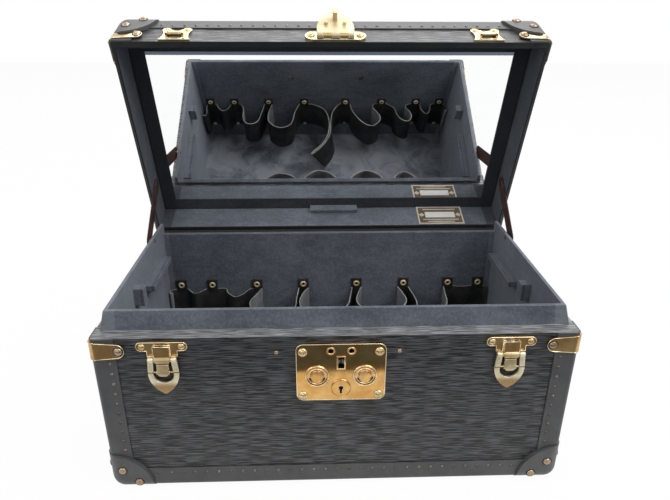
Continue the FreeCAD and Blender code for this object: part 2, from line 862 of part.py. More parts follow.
def clasp_hook(side):
    """Small hook between the arms of a lever, with an eye round its pin and a curled end."""
    x = side * clasp_x
    eye = rod_x(hook_eye_r, x - hook_w / 2, x + hook_w / 2, lever_y, hook_z)
    half_t = hook_body_t / 2
    mid_y = lever_y + hook_lean
    xs = (x - hook_body_w / 2, x + hook_body_w / 2)
    body = block(xs[0], xs[1], mid_y - half_t, mid_y + half_t, hook_z, hook_z + hook_l)
    curl = rod_x(hook_curl_r, xs[0], xs[1], mid_y, hook_z + hook_l)
    hook = eye.fuse(body).fuse(curl)
    return hook.cut(rod_x(hook_pin_r + pin_gap, x - clasp_w, x + clasp_w, lever_y, hook_z))


# Hinge


def hinge_knuckles(lid):
    """Spans of the knuckles on one leaf; the base leaf has the first and the last."""
    count = 2 * round(hinge_l / hinge_knuckle_l / 2) + 1
    pitch = hinge_l / count
    first = 1 if lid else 0
    return [(-hinge_l / 2 + i * pitch, -hinge_l / 2 + (i + 1) * pitch) for i in range(first, count, 2)]


def hinge_leaf(lid):
    """One leaf of the long hinge, notched where the other leaf has its knuckles."""
    rise = 1 if lid else -1
    axis = (hinge_at.y, hinge_at.z)
    zs = sorted((axis[1] + rise * hinge_leaf_gap, axis[1] + rise * hinge_leaf_h))
    leaf = block(-hinge_l / 2, hinge_l / 2, rear_y, rear_y + hinge_leaf_t, zs[0], zs[1])
    gap = slide_gap
    notches = [rod_x(hinge_knuckle_r + gap, x0, x1, axis[0], axis[1]) for x0, x1 in hinge_knuckles(not lid)]
    rolls = [rod_x(hinge_knuckle_r, x0 + gap, x1 - gap, axis[0], axis[1]) for x0, x1 in hinge_knuckles(lid)]
    leaf = leaf.cut(group(notches)).multiFuse(rolls)
    leaf = leaf.cut(rod_x(hinge_pin_r + pin_gap, -hinge_l, hinge_l, axis[0], axis[1]))
    return leaf.cut(group(shank(seat, normal, rivet_shank_l) for seat, normal in hinge_rivet_seats(lid)))


def hinge_rivet_seats(lid):
    """Seats of the rivets in a hinge leaf."""
    rise = 1 if lid else -1
    z = hinge_at.z + rise * hinge_rivet_z
    end = hinge_l / 2 - hinge_rivet_end
    return [(V(x, rear_y + hinge_leaf_t, z), BACK) for x in spread(-end, end, hinge_rivet_pitch)]


def hinge_pin():
    """Pin of the hinge."""
    return rod_x(hinge_pin_r, -hinge_l / 2, hinge_l / 2, hinge_at.y, hinge_at.z)


# Lid


def lid_skins():
    """Wooden lid, its leather covering and its leather edging, before any holes."""
    skin_t = edging_t + cover_t
    outer = skin_block(case_w, case_d, corner_r, 0, lid_top, lid_low, lid_top)
    cover = skin_block(cover_w, cover_d, cover_r, edging_t, lid_top - edging_t, lid_low, lid_top)
    wood = tub_block(wood_w, wood_d, wood_r, lid_top - skin_t, lid_low + cover_t)
    t = lid_lining_t
    well = block(-lid_x - t, lid_x + t, lid_front - t, lid_rear + t, lid_low - overrun, lid_roof)
    window_top = lid_top - edging_w
    front_window = block(-case_w / 2 + edging_w, case_w / 2 - edging_w, -case_d, case_d, lid_low, window_top)
    side_window = block(-case_w, case_w, -case_d / 2 + edging_w, case_d / 2 - edging_w, lid_low, window_top)
    top_x = case_w / 2 - edging_w
    top_y = case_d / 2 - edging_w
    top_window = block(-top_x, top_x, -top_y, top_y, lid_roof, lid_top + overrun)
    edging = outer.cut(cover).cut(front_window).cut(side_window).cut(top_window)
    room = block(-lid_x, lid_x, lid_front, lid_rear, lid_low - overrun, lid_roof + overrun)
    lining = block(-lid_x - t, lid_x + t, lid_front - t, lid_rear + t, lid_low, lid_roof).cut(room)
    return wood.cut(well), cover.cut(wood).cut(well), edging, lining, cover


def top_nails():
    """Nail heads in the edging round the top of the lid."""
    stop_x = case_w / 2 - cap_reach - nail_clear
    stop_y = case_d / 2 - cap_reach - nail_clear
    heads = []
    for side in (-1, 1):
        for x in spread(-stop_x, stop_x, nail_pitch):
            heads.append(dome(V(x, side * (case_d / 2 - nail_in), lid_top), UP, nail_r, nail_h))
        for y in spread(-stop_y, stop_y, nail_pitch):
            heads.append(dome(V(side * (case_w / 2 - nail_in), y, lid_top), UP, nail_r, nail_h))
    return heads


mirror_back = lid_roof - mirror_backing_t
mirror_face = mirror_back - mirror_glass_t


def mirror_rect(side_in, front_in, rear_in, z):
    """Closed outline in the lid, set in from its suede walls."""
    points = [V(-lid_x + side_in, lid_front + front_in, z), V(lid_x - side_in, lid_front + front_in, z)]
    points += [V(lid_x - side_in, lid_rear - rear_in, z), V(-lid_x + side_in, lid_rear - rear_in, z)]
    return Part.makePolygon(points + points[:1])


def mirror_slab(side_in, front_in, rear_in, z0, z1):
    """Flat slab in the lid, set in from its suede walls."""
    return Part.Face(mirror_rect(side_in, front_in, rear_in, z0)).extrude(V(0, 0, z1 - z0))


def mirror_frame():
    """Sloped frame that holds the glass against the roof of the lid."""
    low = rim_z + mirror_frame_low
    play = mirror_play
    body = mirror_slab(play, play, play, low, mirror_back)
    lip_z = mirror_face - mirror_lip_t
    edge = play + mirror_frame_edge
    wide = mirror_rect(edge, edge, edge, low)
    narrow = mirror_rect(mirror_side_in, mirror_front_in, mirror_rear_in, lip_z)
    body = body.cut(Part.makeLoft([wide, narrow], True, True))
    body = body.cut(mirror_slab(mirror_side_in, mirror_front_in, mirror_rear_in, lip_z, mirror_back))
    return body.cut(glass_slab(mirror_face, mirror_back))


def glass_slab(z0, z1):
    """Slab of the glass, which reaches into the frame's rebate on every side."""
    insets = [inset - mirror_pocket for inset in (mirror_side_in, mirror_front_in, mirror_rear_in)]
    return mirror_slab(insets[0], insets[1], insets[2], z0, z1)


def mirror_tab():
    """Suede block at the hinge side of the mirror."""
    high = rim_z + mirror_frame_low - slide_gap
    return block(tab_x - tab_w / 2, tab_x + tab_w / 2, lid_rear - tab_t, lid_rear, high - tab_h, high)


def label_plate():
    """Plain leather label on the back wall of the lid."""
    low = lid_low + label_up
    half = label_w / 2
    return block(label_x - half, label_x + half, lid_rear - label_t, lid_rear, low, low + label_h)


# Hasp

hasp_z = rim_z + hasp_axis_up
hasp_y = front_y - hasp_axis_out
hasp_plate_face = front_y - hasp_plate_t


def hasp_rivet_seats():
    """Seats of the rivets of the hasp plate."""
    z = rim_z + hasp_plate_up
    return [(V(lock_x + s * hasp_rivet_x, hasp_plate_face, z), BACK * -1) for s in (-1, 1)]


def hasp_plate():
    """Round-ended brass plate on the lid with two knuckles for the hasp."""
    z = rim_z + hasp_plate_up
    r = hasp_plate_h / 2
    bar = hasp_plate_w / 2 - r
    plate = block(lock_x - bar, lock_x + bar, hasp_plate_face, front_y, z - r, z + r)
    for s in (-1, 1):
        plate = plate.fuse(rod_y(r, hasp_plate_face, front_y, lock_x + s * bar, z))
    web = hasp_pin_r + pin_gap + slide_gap
    for s in (-1, 1):
        inner = hasp_mid_w / 2 + hasp_side_gap
        xs = sorted((lock_x + s * inner, lock_x + s * (inner + hasp_knuckle_w)))
        plate = plate.fuse(rod_x(hasp_knuckle_r, xs[0], xs[1], hasp_y, hasp_z))
        plate = plate.fuse(block(xs[0], xs[1], hasp_y, front_y, hasp_z - web, hasp_z + web))
    plate = plate.cut(rod_x(hasp_pin_r + pin_gap, lock_x - case_d, lock_x + case_d, hasp_y, hasp_z))
    holes = group(shank(seat, normal, rivet_shank_l) for seat, normal in hasp_rivet_seats())
    return plate.cut(holes).removeSplitter()


def hasp_pin():
    """Pin of the hasp."""
    return rod_x(hasp_pin_r, lock_x - hasp_half_w, lock_x + hasp_half_w, hasp_y, hasp_z)


def hasp():
    """Domed hasp turned up on the lid, with its three knuckles, two pegs and the staple."""
    base_l = V(-hasp_half_w, 0, hasp_root)
    base_r = V(hasp_half_w, 0, hasp_root)
    tip = V(0, 0, hasp_l)
    waist_x = hasp_half_w * hasp_waist_share
    waist_z = hasp_l * hasp_waist_l_share
    sides = [arc(base_r, V(waist_x, 0, waist_z), tip), arc(tip, V(-waist_x, 0, waist_z), base_l)]
    leaf = plate_y(sides + [Part.makeLine(base_l, base_r)], 0, hasp_t)
    leaf.translate(V(0, -hasp_t / 2, 0))
    outer = hasp_mid_w / 2 + 2 * hasp_side_gap + hasp_knuckle_w
    spans = [(-hasp_half_w, -outer), (-hasp_mid_w / 2, hasp_mid_w / 2), (outer, hasp_half_w)]
    for x0, x1 in spans:
        leaf = leaf.fuse(rod_x(hasp_knuckle_r, x0, x1, 0, 0))
        leaf = leaf.fuse(block(x0, x1, -hasp_t / 2, hasp_t / 2, 0, hasp_root))
    leaf = leaf.cut(rod_x(hasp_pin_r + pin_gap, -hasp_half_w, hasp_half_w, 0, 0))
    face = -hasp_t / 2
    peg_z = hasp_axis_up + pin_hole_down
    for s in (-1, 1):
        leaf = leaf.fuse(rod_y(hasp_peg_r, face - hasp_peg_l, face, s * pin_hole_x, peg_z))
    mid = hasp_axis_up + slot_down
    half_w = staple_w / 2
    half_h = staple_h / 2
    staple = block(-half_w, half_w, face - staple_l, face, mid - half_h, mid + half_h)
    eye = half_h - staple_leg
    eye_back = face - staple_l + staple_bar
    leaf = leaf.fuse(staple.cut(block(-half_w, half_w, eye_back, face, mid - eye, mid + eye)))
    leaf = leaf.removeSplitter()
    leaf.rotate(V(0, 0, 0), RIGHT, hasp_rest_deg)
    leaf.translate(V(lock_x, hasp_y, hasp_z))
    return leaf


# Catches


def catch_rivet_seats(side):
    """Seats of the rivets of a catch plate."""
    z = lid_low + catch_rivet_up
    y = front_y - catch_t
    return [(V(side * clasp_x + s * catch_rivet_x, y, z), BACK * -1) for s in (-1, 1)]


def catch_outline():
    """Plate of a catch about its middle: straight below, narrow sides, a round lobe at each rivet."""
    half = catch_w / 2
    lobe = catch_rivet_up - catch_up
    slant = catch_lobe_r * slant_share
    right = V(half, 0, 0)
    waist = V(half * catch_waist_share, 0, lobe * catch_waist_up_share)
    shoulder = V(catch_rivet_x + catch_lobe_r * catch_shoulder_share, 0, lobe - slant)
    crown = V(catch_rivet_x + slant, 0, lobe + slant)
    inside = V(catch_rivet_x - slant, 0, lobe + slant)
    dip = V(0, 0, lobe + slant - catch_dip)
    mirrored = [V(-point.x, 0, point.z) for point in (right, waist, shoulder, crown, inside)]
    edges = [arc(right, waist, shoulder), arc(shoulder, crown, inside), arc(inside, dip, mirrored[4])]
    edges += [arc(mirrored[4], mirrored[3], mirrored[2]), arc(mirrored[2], mirrored[1], mirrored[0])]
    edges.append(Part.makeLine(mirrored[0], right))
    return plate_y(edges, 0, catch_t)


def catch_plate(side):
    """Brass catch on the lid: a plate with a window and two ears that hold the roll."""
    x = side * clasp_x
    low = lid_low + catch_up
    face = front_y - catch_t
    plate = catch_outline()
    plate.translate(V(x, face, low))
    window_low = lid_low + catch_window_up
    half = catch_window_w / 2
    window = block(x - half, x + half, face, front_y, window_low, window_low + catch_window_h)
    plate = plate.cut(window)
    ear_mid = window_low + catch_window_h / 2
    for s in (-1, 1):
        xs = sorted((x + s * half, x + s * (half + catch_ear_w)))
        ear_zs = (ear_mid - catch_ear_h / 2, ear_mid + catch_ear_h / 2)
        plate = plate.fuse(block(xs[0], xs[1], front_y - catch_ear_out, front_y, ear_zs[0], ear_zs[1]))
    holes = group(shank(seat, normal, rivet_shank_l) for seat, normal in catch_rivet_seats(side))
    return plate.cut(holes).removeSplitter()


def catch_roll(side):
    """Roll bar that the clasp hook takes hold of."""
    x = side * clasp_x
    half = catch_window_w / 2
    z = lid_low + catch_window_up + catch_window_h / 2
    return rod_x(catch_roll_r, x - half, x + half, front_y - catch_roll_out, z)


# Stays

stay_out = lid_x - stay_wall_gap
stay_base = V(0, case_d / 2 - stay_base_back, rim_z + stay_base_up)
stay_lid_shut = V(0, case_d / 2 - stay_lid_back, rim_z + stay_lid_up)


def stay_lid_point():
    """Upper end of a stay with the lid open."""
    return opened(Part.Vertex(stay_lid_shut)).Point


def lid_stay(side):
    """Flat leather strip with round ends, from the outside of the lip up to the wall of the lid."""
    top = stay_lid_point()
    run = top - stay_base
    r = stay_w / 2
    across = V(0, -run.z, run.y).normalize() * r
    along = V(run).normalize() * r
    a, b = stay_base + across, stay_base - across
    c, d = top - across, top + across
    edges = [arc(a, stay_base - along, b), Part.makeLine(b, c), arc(c, top + along, d), Part.makeLine(d, a)]
    strip = Part.Face(Part.Wire(edges)).extrude(V(stay_t, 0, 0))
    strip.translate(V(stay_out - stay_t if side > 0 else -stay_out, 0, 0))
    for end in (stay_base, top):
        strip = strip.cut(rod_x(stay_pin_r + pin_gap, -case_w, case_w, end.y, end.z))
    return strip


def stay_pin(side, point, x0, x1):
    """Flush pin at one end of a stay."""
    xs = sorted((side * x0, side * x1))
    return rod_x(stay_pin_r, xs[0], xs[1], point.y, point.z)


# Handle

handle_z = lid_top - edging_t + handle_axis_up
handle_plate_low = lid_top - edging_t


def handle_grip():
    """Stitched leather grip: one round bar bent down at both ends, lying on the lid towards the hinges."""
    x = handle_span / 2
    near = handle_neck_l
    far = handle_reach
    r = handle_bend_r
    slant = r * slant_share
    points = [V(-x, near, 0), V(-x, far - r, 0), V(-x + r, far, 0)]
    points += [V(x - r, far, 0), V(x, far - r, 0), V(x, near, 0)]
    mids = [V(-x + r - slant, far - r + slant, 0), V(x - r + slant, far - r + slant, 0)]
    path = [Part.makeLine(points[0], points[1]), arc(points[1], mids[0], points[2])]
    path += [Part.makeLine(points[2], points[3]), arc(points[3], mids[1], points[4])]
    path.append(Part.makeLine(points[4], points[5]))
    section = Part.Wire(Part.makeCircle(grip_r, points[0], BACK))
    grip = Part.Wire(path).makePipeShell([section], True, False)
    grip.translate(V(0, handle_y, handle_z))
    return grip


def handle_end(side):
    """Brass eye at one end of the grip."""
    x = side * handle_span / 2
    half = handle_eye_w / 2
    eye = rod_x(handle_eye_r, x - half, x + half, handle_y, handle_z)
    neck = rod_y(handle_neck_r, handle_y, handle_y + handle_neck_l, x, handle_z)
    eye = eye.fuse(neck)
    return eye.cut(rod_x(handle_pin_r + pin_gap, x - handle_span, x + handle_span, handle_y, handle_z))


def handle_rivet_seats(side):
    """Seats of the rivets of a handle mount."""
    x = side * handle_span / 2
    z = handle_plate_low + handle_plate_t
    return [(V(x + s * handle_rivet_x, handle_y, z), UP) for s in (-1, 1)]


def handle_mount(side):
    """Brass plate on the lid with two ears for the pin of the handle."""
    x = side * handle_span / 2
    half_w = handle_plate_w / 2
    half_d = handle_plate_d / 2
    top = handle_plate_low + handle_plate_t
    plate = block(x - half_w, x + half_w, handle_y - half_d, handle_y + half_d, handle_plate_low, top)
    for s in (-1, 1):
        inner = handle_eye_w / 2 + handle_ear_gap
        xs = sorted((x + s * inner, x + s * (inner + handle_ear_t)))
        ys = (handle_y - handle_ear_d / 2, handle_y + handle_ear_d / 2)
        plate = plate.fuse(block(xs[0], xs[1], ys[0], ys[1], handle_plate_low, handle_z))
        plate = plate.fuse(rod_x(handle_ear_d / 2, xs[0], xs[1], handle_y, handle_z))
    plate = plate.cut(rod_x(handle_pin_r + pin_gap, x - handle_span, x + handle_span, handle_y, handle_z))
    holes = group(shank(seat, normal, handle_shank_l) for seat, normal in handle_rivet_seats(side))
    return plate.cut(holes).removeSplitter()


handle_shank_l = handle_plate_t + cover_t + lid_top_wood_t / 2


def handle_pin(side):
    """Pin of one end of the handle."""
    x = side * handle_span / 2
    half = handle_eye_w / 2 + handle_ear_gap + handle_ear_t
    return rod_x(handle_pin_r, x - half, x + half, handle_y, handle_z)


def build_base():
    """Everything that is fixed to the base, and its small moving pieces."""
    wood, covering, edging, cover = base_skins()
    strap_high = rim_z - strap_drop
    straps = corner_straps(strap_high - strap_h, strap_high)
    caps = corner_caps(foot_h, 1, edging, cover, straps)
    cap_seats = cap_rivet_seats(foot_h, 1)
    strap_seats = strap_rivet_seats(strap_high - strap_h / 2)
    clasp_seats = clasp_rivet_seats(-1) + clasp_rivet_seats(1)
    hinge_seats = hinge_rivet_seats(False)
    lock_seats = lock_rivet_seats()
    plain = strap_seats + clasp_seats + hinge_seats + lock_seats
    cap_holes = group(shank(seat, normal, cap_shank_l) for seat, normal in cap_seats)
    holes = group(shank(seat, normal, rivet_shank_l) for seat, normal in plain)
    through = group(through_holes())
    stay_holes = group(stay_pin(side, stay_base, inner_x, stay_out) for side in (-1, 1))
    mortise = lock_mortise()
    keep("base_box", wood.cut(cap_holes).cut(holes).cut(through).cut(mortise))
    keep("base_covering", covering.cut(cap_holes).cut(holes).cut(through).cut(mortise))
    keep("base_edging", edging.cut(cap_holes).cut(holes))
    keep("base_panel", base_panel())
    keep("base_lining", base_lining().cut(through).cut(stay_holes))
    keep("base_corner_caps", group(cap.cut(cap_holes) for cap in caps))
    keep("base_brass_corners", group(strap.cut(holes) for strap in straps))
    rivets = [rivet(seat, normal, rivet_r, cap_shank_l) for seat, normal in cap_seats]
    keep("base_corner_rivets", group(rivets + [rivet(seat, normal) for seat, normal in strap_seats]))
    nails = wall_nails(foot_h + nail_in)
    low = foot_h + cap_reach + nail_clear
    high = strap_high - strap_h - nail_clear
    for z in spread(low, high, nail_pitch):
        for sx, sy in corners():
            nails.append(dome(V(sx * (case_w / 2 - nail_in), sy * case_d / 2, z), BACK * sy, nail_r, nail_h))
            nails.append(dome(V(sx * case_w / 2, sy * (case_d / 2 - nail_in), z), RIGHT * sx, nail_r, nail_h))
    keep("base_nails", group(nails))
    keep("tray_rests", tray_rests())
    front_z = rim_z - front_tab_drop
    rear_z = rim_z - rear_tab_drop
    keep("front_loop_band", loop_band(inner_front, 1, front_z, front_loop_shares))
    keep("rear_loop_band", loop_band(inner_rear, -1, rear_z, rear_loop_shares))
    front_tabs, front_snaps = loop_tabs(inner_front, 1, front_z)
    rear_tabs, rear_snaps = loop_tabs(inner_rear, -1, rear_z)
    keep("loop_tabs", group(front_tabs + rear_tabs))
    keep("loop_snaps", group(front_snaps + rear_snaps))
    keep("through_pins", group(through_pins()))
    keep("hinge_base_leaf", hinge_leaf(False))
    stay_pins = [stay_pin(side, stay_base, inner_x, stay_out) for side in (-1, 1)]
    keep("base_pins", group([hinge_pin(), lever_pin(-1), lever_pin(1)] + stay_pins))
    fixed = [rivet(seat, normal, hinge_rivet_r) for seat, normal in hinge_seats]
    fixed += [rivet(seat, normal, lock_rivet_r) for seat, normal in lock_seats]
    fixed += [rivet(seat, normal, clasp_rivet_r) for seat, normal in clasp_seats]
    keep("base_hardware_rivets", group(fixed))
    for side, word in ((-1, "left"), (1, "right")):
        keep("lid_stay_" + word, lid_stay(side))


def build_lock_and_clasps():
    """Lock and clasps on the front of the base."""
    keep("lock_plate", lock_plate())
    keep("lock_case", lock_case())
    keep("keyhole_rosette", rosette())
    keep("clasp_plates", both(clasp_plate))
    for side, word in ((-1, "left"), (1, "right")):
        keep("lock_button_" + word, lock_button(side))
        keep("button_spring_" + word, button_spring(side))
        keep("lock_bolt_" + word, lock_bolt(side))
        keep("clasp_lever_" + word, clasp_lever(side))
        keep("hook_pin_" + word, hook_pin(side))
        keep("clasp_hook_" + word, clasp_hook(side))


def build_lid():
    """Everything on the lid, opened on the hinge line."""
    wood, covering, edging, lining, cover = lid_skins()
    strap_low = lid_low + strap_drop
    straps = corner_straps(strap_low, strap_low + strap_h)
    caps = corner_caps(lid_top, -1, edging, cover, straps)
    cap_seats = cap_rivet_seats(lid_top, -1)
    strap_seats = strap_rivet_seats(strap_low + strap_h / 2)
    hasp_seats = hasp_rivet_seats()
    catch_seats = catch_rivet_seats(-1) + catch_rivet_seats(1)
    hinge_seats = hinge_rivet_seats(True)
    handle_seats = handle_rivet_seats(-1) + handle_rivet_seats(1)
    cap_holes = group(shank(seat, normal, cap_shank_l) for seat, normal in cap_seats)
    plain = strap_seats + hasp_seats + catch_seats + hinge_seats
    holes = group(shank(seat, normal, rivet_shank_l) for seat, normal in plain)
    handle_holes = group(shank(seat, normal, handle_shank_l) for seat, normal in handle_seats)
    keep("lid_box", opened(wood.cut(cap_holes).cut(holes).cut(handle_holes)))
    keep("lid_covering", opened(covering.cut(cap_holes).cut(holes).cut(handle_holes)))
    keep("lid_edging", opened(edging.cut(cap_holes).cut(holes)))
    keep("lid_lining", opened(lining))
    keep("lid_corner_caps", opened(group(cap.cut(cap_holes) for cap in caps)))
    keep("lid_brass_corners", opened(group(strap.cut(holes) for strap in straps)))
    rivets = [rivet(seat, normal, rivet_r, cap_shank_l) for seat, normal in cap_seats]
    keep("lid_corner_rivets", opened(group(rivets + [rivet(seat, normal) for seat, normal in strap_seats])))
    keep("lid_nails", opened(group(wall_nails(lid_top - nail_in) + top_nails())))
    keep("mirror_backing", opened(mirror_slab(mirror_play, mirror_play, mirror_play, mirror_back, lid_roof)))
    keep("mirror_glass", opened(glass_slab(mirror_face, mirror_back)))
    keep("mirror_frame", opened(mirror_frame()))
    keep("mirror_tab", opened(mirror_tab()))
    keep("label_plate", opened(label_plate()))
    keep("hasp_plate", opened(hasp_plate()))
    keep("hasp", opened(hasp()))
    keep("catch_plates", opened(both(catch_plate)))
    keep("catch_rolls", opened(both(catch_roll)))
    fixed = [rivet(seat, normal) for seat, normal in hasp_seats]
    fixed += [rivet(seat, normal, catch_rivet_r) for seat, normal in catch_seats]
    fixed += [rivet(seat, normal, hinge_rivet_r) for seat, normal in hinge_seats]
    fixed += [rivet(seat, normal, rivet_r, handle_shank_l) for seat, normal in handle_seats]
    keep("lid_hardware_rivets", opened(group(fixed)))
    keep("hinge_lid_leaf", opened(hinge_leaf(True)))
    keep("handle_mounts", opened(both(handle_mount)))
    stay_pins = [stay_pin(side, stay_lid_shut, stay_out - stay_t, lid_x) for side in (-1, 1)]
    keep("lid_pins", opened(group([hasp_pin(), handle_pin(-1), handle_pin(1)] + stay_pins)))
    keep("handle_grip", opened(handle_grip()))
    keep("handle_ends", opened(both(handle_end)))


os.makedirs("parts", exist_ok=True)
build_base()
build_lock_and_clasps()
build_lid()
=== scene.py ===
import logging
import math
from contextlib import contextmanager
from dataclasses import dataclass, field
from enum import Enum
from typing import Callable, Iterable, Iterator, Sequence

import bpy
from mathutils import Matrix, Vector


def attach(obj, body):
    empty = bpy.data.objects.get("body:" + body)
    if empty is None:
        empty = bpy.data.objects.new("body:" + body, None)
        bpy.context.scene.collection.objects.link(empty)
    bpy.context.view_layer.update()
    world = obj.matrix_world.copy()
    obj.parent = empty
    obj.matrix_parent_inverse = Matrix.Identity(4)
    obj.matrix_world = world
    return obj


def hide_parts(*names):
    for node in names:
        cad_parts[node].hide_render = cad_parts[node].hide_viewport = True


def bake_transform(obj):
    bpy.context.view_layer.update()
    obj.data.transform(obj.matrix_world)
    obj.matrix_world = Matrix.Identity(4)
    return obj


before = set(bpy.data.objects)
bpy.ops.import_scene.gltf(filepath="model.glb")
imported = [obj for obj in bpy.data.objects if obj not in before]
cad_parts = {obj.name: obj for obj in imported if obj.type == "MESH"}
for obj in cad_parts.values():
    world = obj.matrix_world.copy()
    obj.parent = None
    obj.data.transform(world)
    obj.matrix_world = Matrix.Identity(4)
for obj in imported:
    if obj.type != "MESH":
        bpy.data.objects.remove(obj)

MM = 0.001
POINT = 1e-6
HINGE = Vector((0.0, 97.1, 133.6)) * MM
OPEN_ANGLE = math.radians(70.75)
LID_TURN = Matrix.Translation(HINGE) @ Matrix.Rotation(-OPEN_ANGLE, 4, "X") @ Matrix.Translation(-HINGE)

log = logging.getLogger("vanity_case")
Piece = bpy.types.Object
Material = bpy.types.Material
Socket = bpy.types.NodeSocket
Colour = tuple[float, float, float, float]
Profile = Sequence[tuple[float, float]]


class Body(Enum):
    """Bodies of the frame that pieces ride on."""

    BASE = "base"
    LID = "lid"
    HANDLE = "handle"
    HOOK_LEFT = "clasp_hook_left"
    HOOK_RIGHT = "clasp_hook_right"


class Slot(Enum):
    """Material slots of the record."""

    EDGE = "edge_leather"
    BAND = "band_leather"
    STAY = "stay_leather"
    BRASS = "brass"


def grey(level: float, tint: tuple[float, float, float] = (1.0, 1.0, 1.0)) -> Colour:
    """Linear colour of one level with a slight tint."""
    return (level * tint[0], level * tint[1], level * tint[2], 1.0)


# ---------------------------------------------------------------------------------------- shader maths


class Val:
    """A number that varies over a surface; arithmetic on it adds Math nodes."""

    def __init__(self, recipe: "Recipe", socket: Socket) -> None:
        """Wraps one output socket of a recipe's tree."""
        self.recipe = recipe
        self.socket = socket

    def _with(self, operation: str, *values: "Val | float") -> "Val":
        """One Math node on the given values, in order."""
        node = self.recipe.node("ShaderNodeMath", {"operation": operation}, dict(enumerate(values)))
        return Val(self.recipe, node.outputs[0])

    def __add__(self, other: "Val | float") -> "Val":
        """Sum."""
        return self._with("ADD", self, other)

    __radd__ = __add__

    def __sub__(self, other: "Val | float") -> "Val":
        """Difference."""
        return self._with("SUBTRACT", self, other)

    def __rsub__(self, other: float) -> "Val":
        """Difference from a number."""
        return self._with("SUBTRACT", other, self)

    def __mul__(self, other: "Val | float") -> "Val":
        """Product."""
        return self._with("MULTIPLY", self, other)

    __rmul__ = __mul__

    def most(self, other: "Val | float") -> "Val":
        """Larger of the two."""
        return self._with("MAXIMUM", self, other)

    def above(self, level: float) -> "Val":
        """One where the value is above the level, zero elsewhere."""
        return self._with("GREATER_THAN", self, level)

    def ease(self, low: float, high: float) -> "Val":
        """Smooth step from zero at low to one at high."""
        settings = {"interpolation_type": "SMOOTHSTEP"}
        node = self.recipe.node("ShaderNodeMapRange", settings, {"Value": self, 1: low, 2: high})
        return Val(self.recipe, node.outputs[0])


